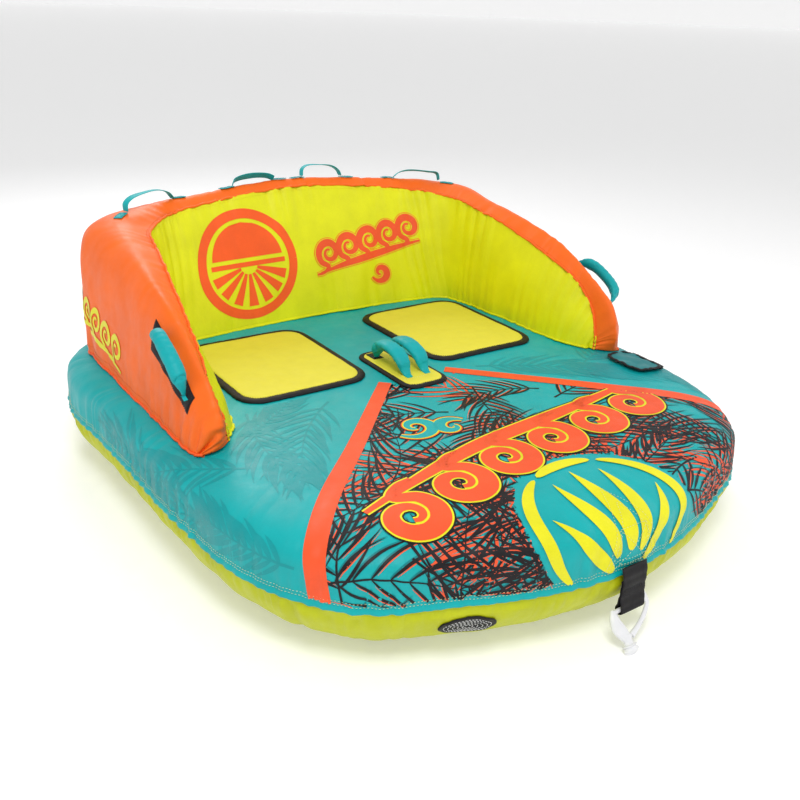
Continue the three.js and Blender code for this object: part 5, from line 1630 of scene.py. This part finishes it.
def make_backrest_print():
    """A rayed sun in a ring and a row of curls on the inner panel, and curls on the arms' outer sides."""
    slot = "yellow_cover"
    sun = Print("panel_sun", wall_plan, PRINT_ORANGE, 0.0009, slot)
    centre = np.array([-0.207, 0.200])
    sun.ring(centre, 0.158, 0.015)
    sun.disc(centre + (0, 0.010), 0.122, 0.10, 1.0)
    for degrees in (200, 222, 246, 270, 294, 318, 340):
        turn = math.radians(degrees)
        way = np.array([math.cos(turn), math.sin(turn)])
        ray = np.stack([centre + way * 0.030, centre + way * 0.132])
        sun.ribbon(ray, lambda t: 0.0045 + 0.0115 * t, 0.006)
    sun.ribbon(np.array([centre + (-0.128, 0.002), centre + (0.128, 0.002)]), 0.0075)
    sun.make()
    baseline = catmull([(0.045, 0.185), (0.16, 0.208), (0.30, 0.232), (0.44, 0.256)], np.linspace(0, 1, 90))
    curves = running_scrolls(baseline, 5, 0.046, flip=1)
    curves.append(baseline - (0.0, 0.048))
    layers = ((PRINT_ORANGE, 0.0100, 0.0046, 0.0008), (PRINT_YELLOW, 0.0100, 0.0026, 0.0013),
              (CORAL, 0.0100, 0.0, 0.0018))
    layered("panel_curls", wall_plan, curves, layers, slot)
    layered("panel_small_curl", wall_plan, [scroll((0.272, 0.112), 0.036, 200, 1.2)], layers, slot)
    layers = ((PRINT_ORANGE, 0.0042, 0.0028, 0.0008), (PRINT_YELLOW, 0.0042, 0.0012, 0.0014))
    total = COVER_S[-1]
    for side, name, flip in ((0, "left", 1), (1, "right", -1)):
        line = np.array([(0.99, 0.128), (0.87, 0.106), (0.76, 0.080), (0.66, 0.062)])
        if side:
            line = line * (-1, 1) + (total, 0)
        curves = running_scrolls(line, 5, 0.034, flip=-flip)
        curves.append(line - (0.0, 0.034))
        layered(f"arm_curls_{name}", cover_plan, curves, layers, "orange_cover")


def make_hem_stitching():
    """Two rows of light thread in the printed cover's hem."""
    angles = np.linspace(-np.pi, np.pi, 2400)
    rows = [deck_at(angles, 1 - back / SECTION_LENGTH, 0.0005) for back in (0.004, 0.012)]
    stitches("deck_hem_stitching", rows, THREAD_LIGHT, length=0.0050, gap=0.0030, slot="teal_cover")


# ------------------------------------------------------------------ the object

make_deck_cover()
make_lower_cover()
make_backrest_side("backrest_cover", COVER, COVER_S, COVER_D, material=ORANGE, slot="orange_cover",
                   replaces=["backrest_outer_cover"])
make_backrest_side("backrest_panel", WALL, WALL_S, WALL_D, material=YELLOW, slot="yellow_cover",
                   replaces=["backrest_inner_panel"])
make_backrest_trim()
make_deck_print()
make_backrest_print()
make_hem_stitching()
make_pad("seat_cushion_left", "seat_pad_left", 0.062, 0.026, 0.0088)
make_pad("seat_cushion_right", "seat_pad_right", 0.062, 0.026, 0.0088)
make_pad("centre_cushion", "centre_pad", 0.034, 0.020, 0.0080)
make_top_handle(1, [(0, 0), (0.02, 0.55), (0.14, 0.88), (0.42, 1.0), (0.72, 0.9), (0.92, 0.5), (1, 0)], 6)
make_top_handle(2, [(0, 0), (0.06, 0.55), (0.25, 0.95), (0.6, 1.0), (0.88, 0.6), (1, 0)], 4)
make_top_handle(3, [(0, 0), (0.02, 0.6), (0.12, 0.92), (0.45, 1.0), (0.78, 0.85), (0.94, 0.45), (1, 0)], -6)
make_top_handle(4, [(0, 0), (0.1, 0.55), (0.3, 0.95), (0.75, 1.0), (0.96, 0.85), (1, 0)], 4)
make_centre_grip("left", -1)
make_centre_grip("right", 1)
make_centre_trim()
make_side_grip("left")
make_side_grip("right")
make_flap()
make_valve("base_valve")
make_valve("backrest_valve")
make_vent()
make_tow_point()
make_hook()
make_tow_patch()


def stern_place(xs, z):
    """Points and normals on the lower cover across the stern."""
    return lower_at(np.arctan2(xs, -STERN_REAR * MM), SEAM_Z - z + 0.004, 0.0)


def back_place(xs, z):
    """Points and normals on the outer cover across the back."""
    points, normals = [], []
    for x in xs:
        near = np.abs(COVER[:, 40, 0] - x) + (COVER[:, 40, 1] < 0.5)
        row = int(np.argmin(near))
        column = int(np.argmin(np.abs(COVER[row, :, 2] - z) + (np.arange(COVER.shape[1]) < 20)))
        points.append(COVER[row, column])
        normals.append(COVER_NORMAL[row, column])
    return np.array(points), np.array(normals)


make_zip("base_zip", stern_place)
make_zip("backrest_zip", back_place)

# CAD parts inside the covers that are shown as they are.
CARRIED = {"bladder": FILM, "harness": WEB_BLACK, "membrane": RUBBER}
for node_name, node_object in frame["nodes"].items():
    for word, finish in CARRIED.items():
        if word in node_name:
            node_object.data.materials.clear()
            node_object.data.materials.append(finish)

# ------------------------------------------------------------------ floor, light and camera

FLOOR_PAINT = plastic("studio_floor_paint", (0.84, 0.84, 0.84), roughness=0.9, relief=0.0)
put(FLOOR_PAINT.node_tree.nodes["Principled BSDF"], Emission_Color=(1, 1, 1, 1), Emission_Strength=0.28,
    Specular_IOR_Level=0.1)
FLOOR_REACH, FLOOR_Z, BACKDROP_RADIUS, BACKDROP_TOP, BACKDROP_SIDES = 60, -0.0005, 55, 30, 64


def stage(name, vertices, faces):
    """A piece of the studio, which is no part of the object."""
    mesh = bpy.data.meshes.new(name)
    mesh.from_pydata(vertices, [], faces)
    mesh.materials.append(FLOOR_PAINT)
    linked(name, mesh)


square = ((-1, -1), (1, -1), (1, 1), (-1, 1))
stage("studio_floor", [(FLOOR_REACH * x, FLOOR_REACH * y, FLOOR_Z) for x, y in square], [(0, 1, 2, 3)])
circle = [(BACKDROP_RADIUS * math.cos(a), BACKDROP_RADIUS * math.sin(a)) for a in turns(BACKDROP_SIDES)]
stage("studio_backdrop", [(x, y, z) for z in (-0.001, BACKDROP_TOP) for x, y in circle],
      grid_faces(2, BACKDROP_SIDES, wrap=True).tolist())

world = bpy.data.worlds.new("studio")
world.use_nodes = True
put(world.node_tree.nodes["Background"], Color=(1.0, 1.0, 1.0, 1), Strength=0.52)
bpy.context.scene.world = world


def area_light(name, place, target, size, power):
    data = bpy.data.lights.new(name, "AREA")
    data.size = size
    data.energy = power
    light = linked(name, data)
    light.location = place
    light.rotation_euler = (Vector(target) - Vector(place)).to_track_quat("-Z", "Y").to_euler()


area_light("key_light", (-1.2, -1.8, 3.6), (0, 0, 0.2), 1.3, 74)
area_light("fill_light", (3.2, -1.2, 2.4), (0, 0, 0.3), 2.0, 16)
area_light("back_light", (0.5, 3.4, 2.8), (0, 0.2, 0.4), 1.5, 48)

CAMERA_LENS, CAMERA_ROLL = 40.516, 2        # in mm and degrees
camera_data = bpy.data.cameras.new("photo_view")
camera_data.lens = CAMERA_LENS
camera_data.sensor_width = 36
camera = linked("photo_view", camera_data)
CAMERA_PLACE = Vector((-1.376, -1.8976, 1.309))
CAMERA_TARGET = Vector((0.0, 0.080, 0.2114))
forward = (CAMERA_TARGET - CAMERA_PLACE).normalized()
level_right = forward.cross(Vector((0, 0, 1))).normalized()
level_up = level_right.cross(forward)
roll = math.radians(CAMERA_ROLL)
right = level_right * math.cos(roll) + level_up * math.sin(roll)
up = level_up * math.cos(roll) - level_right * math.sin(roll)
camera.matrix_world = Matrix.Translation(CAMERA_PLACE) @ Matrix((right, up, -forward)).transposed().to_4x4()
bpy.context.scene.camera = camera
bpy.context.scene.view_settings.view_transform = "Standard"
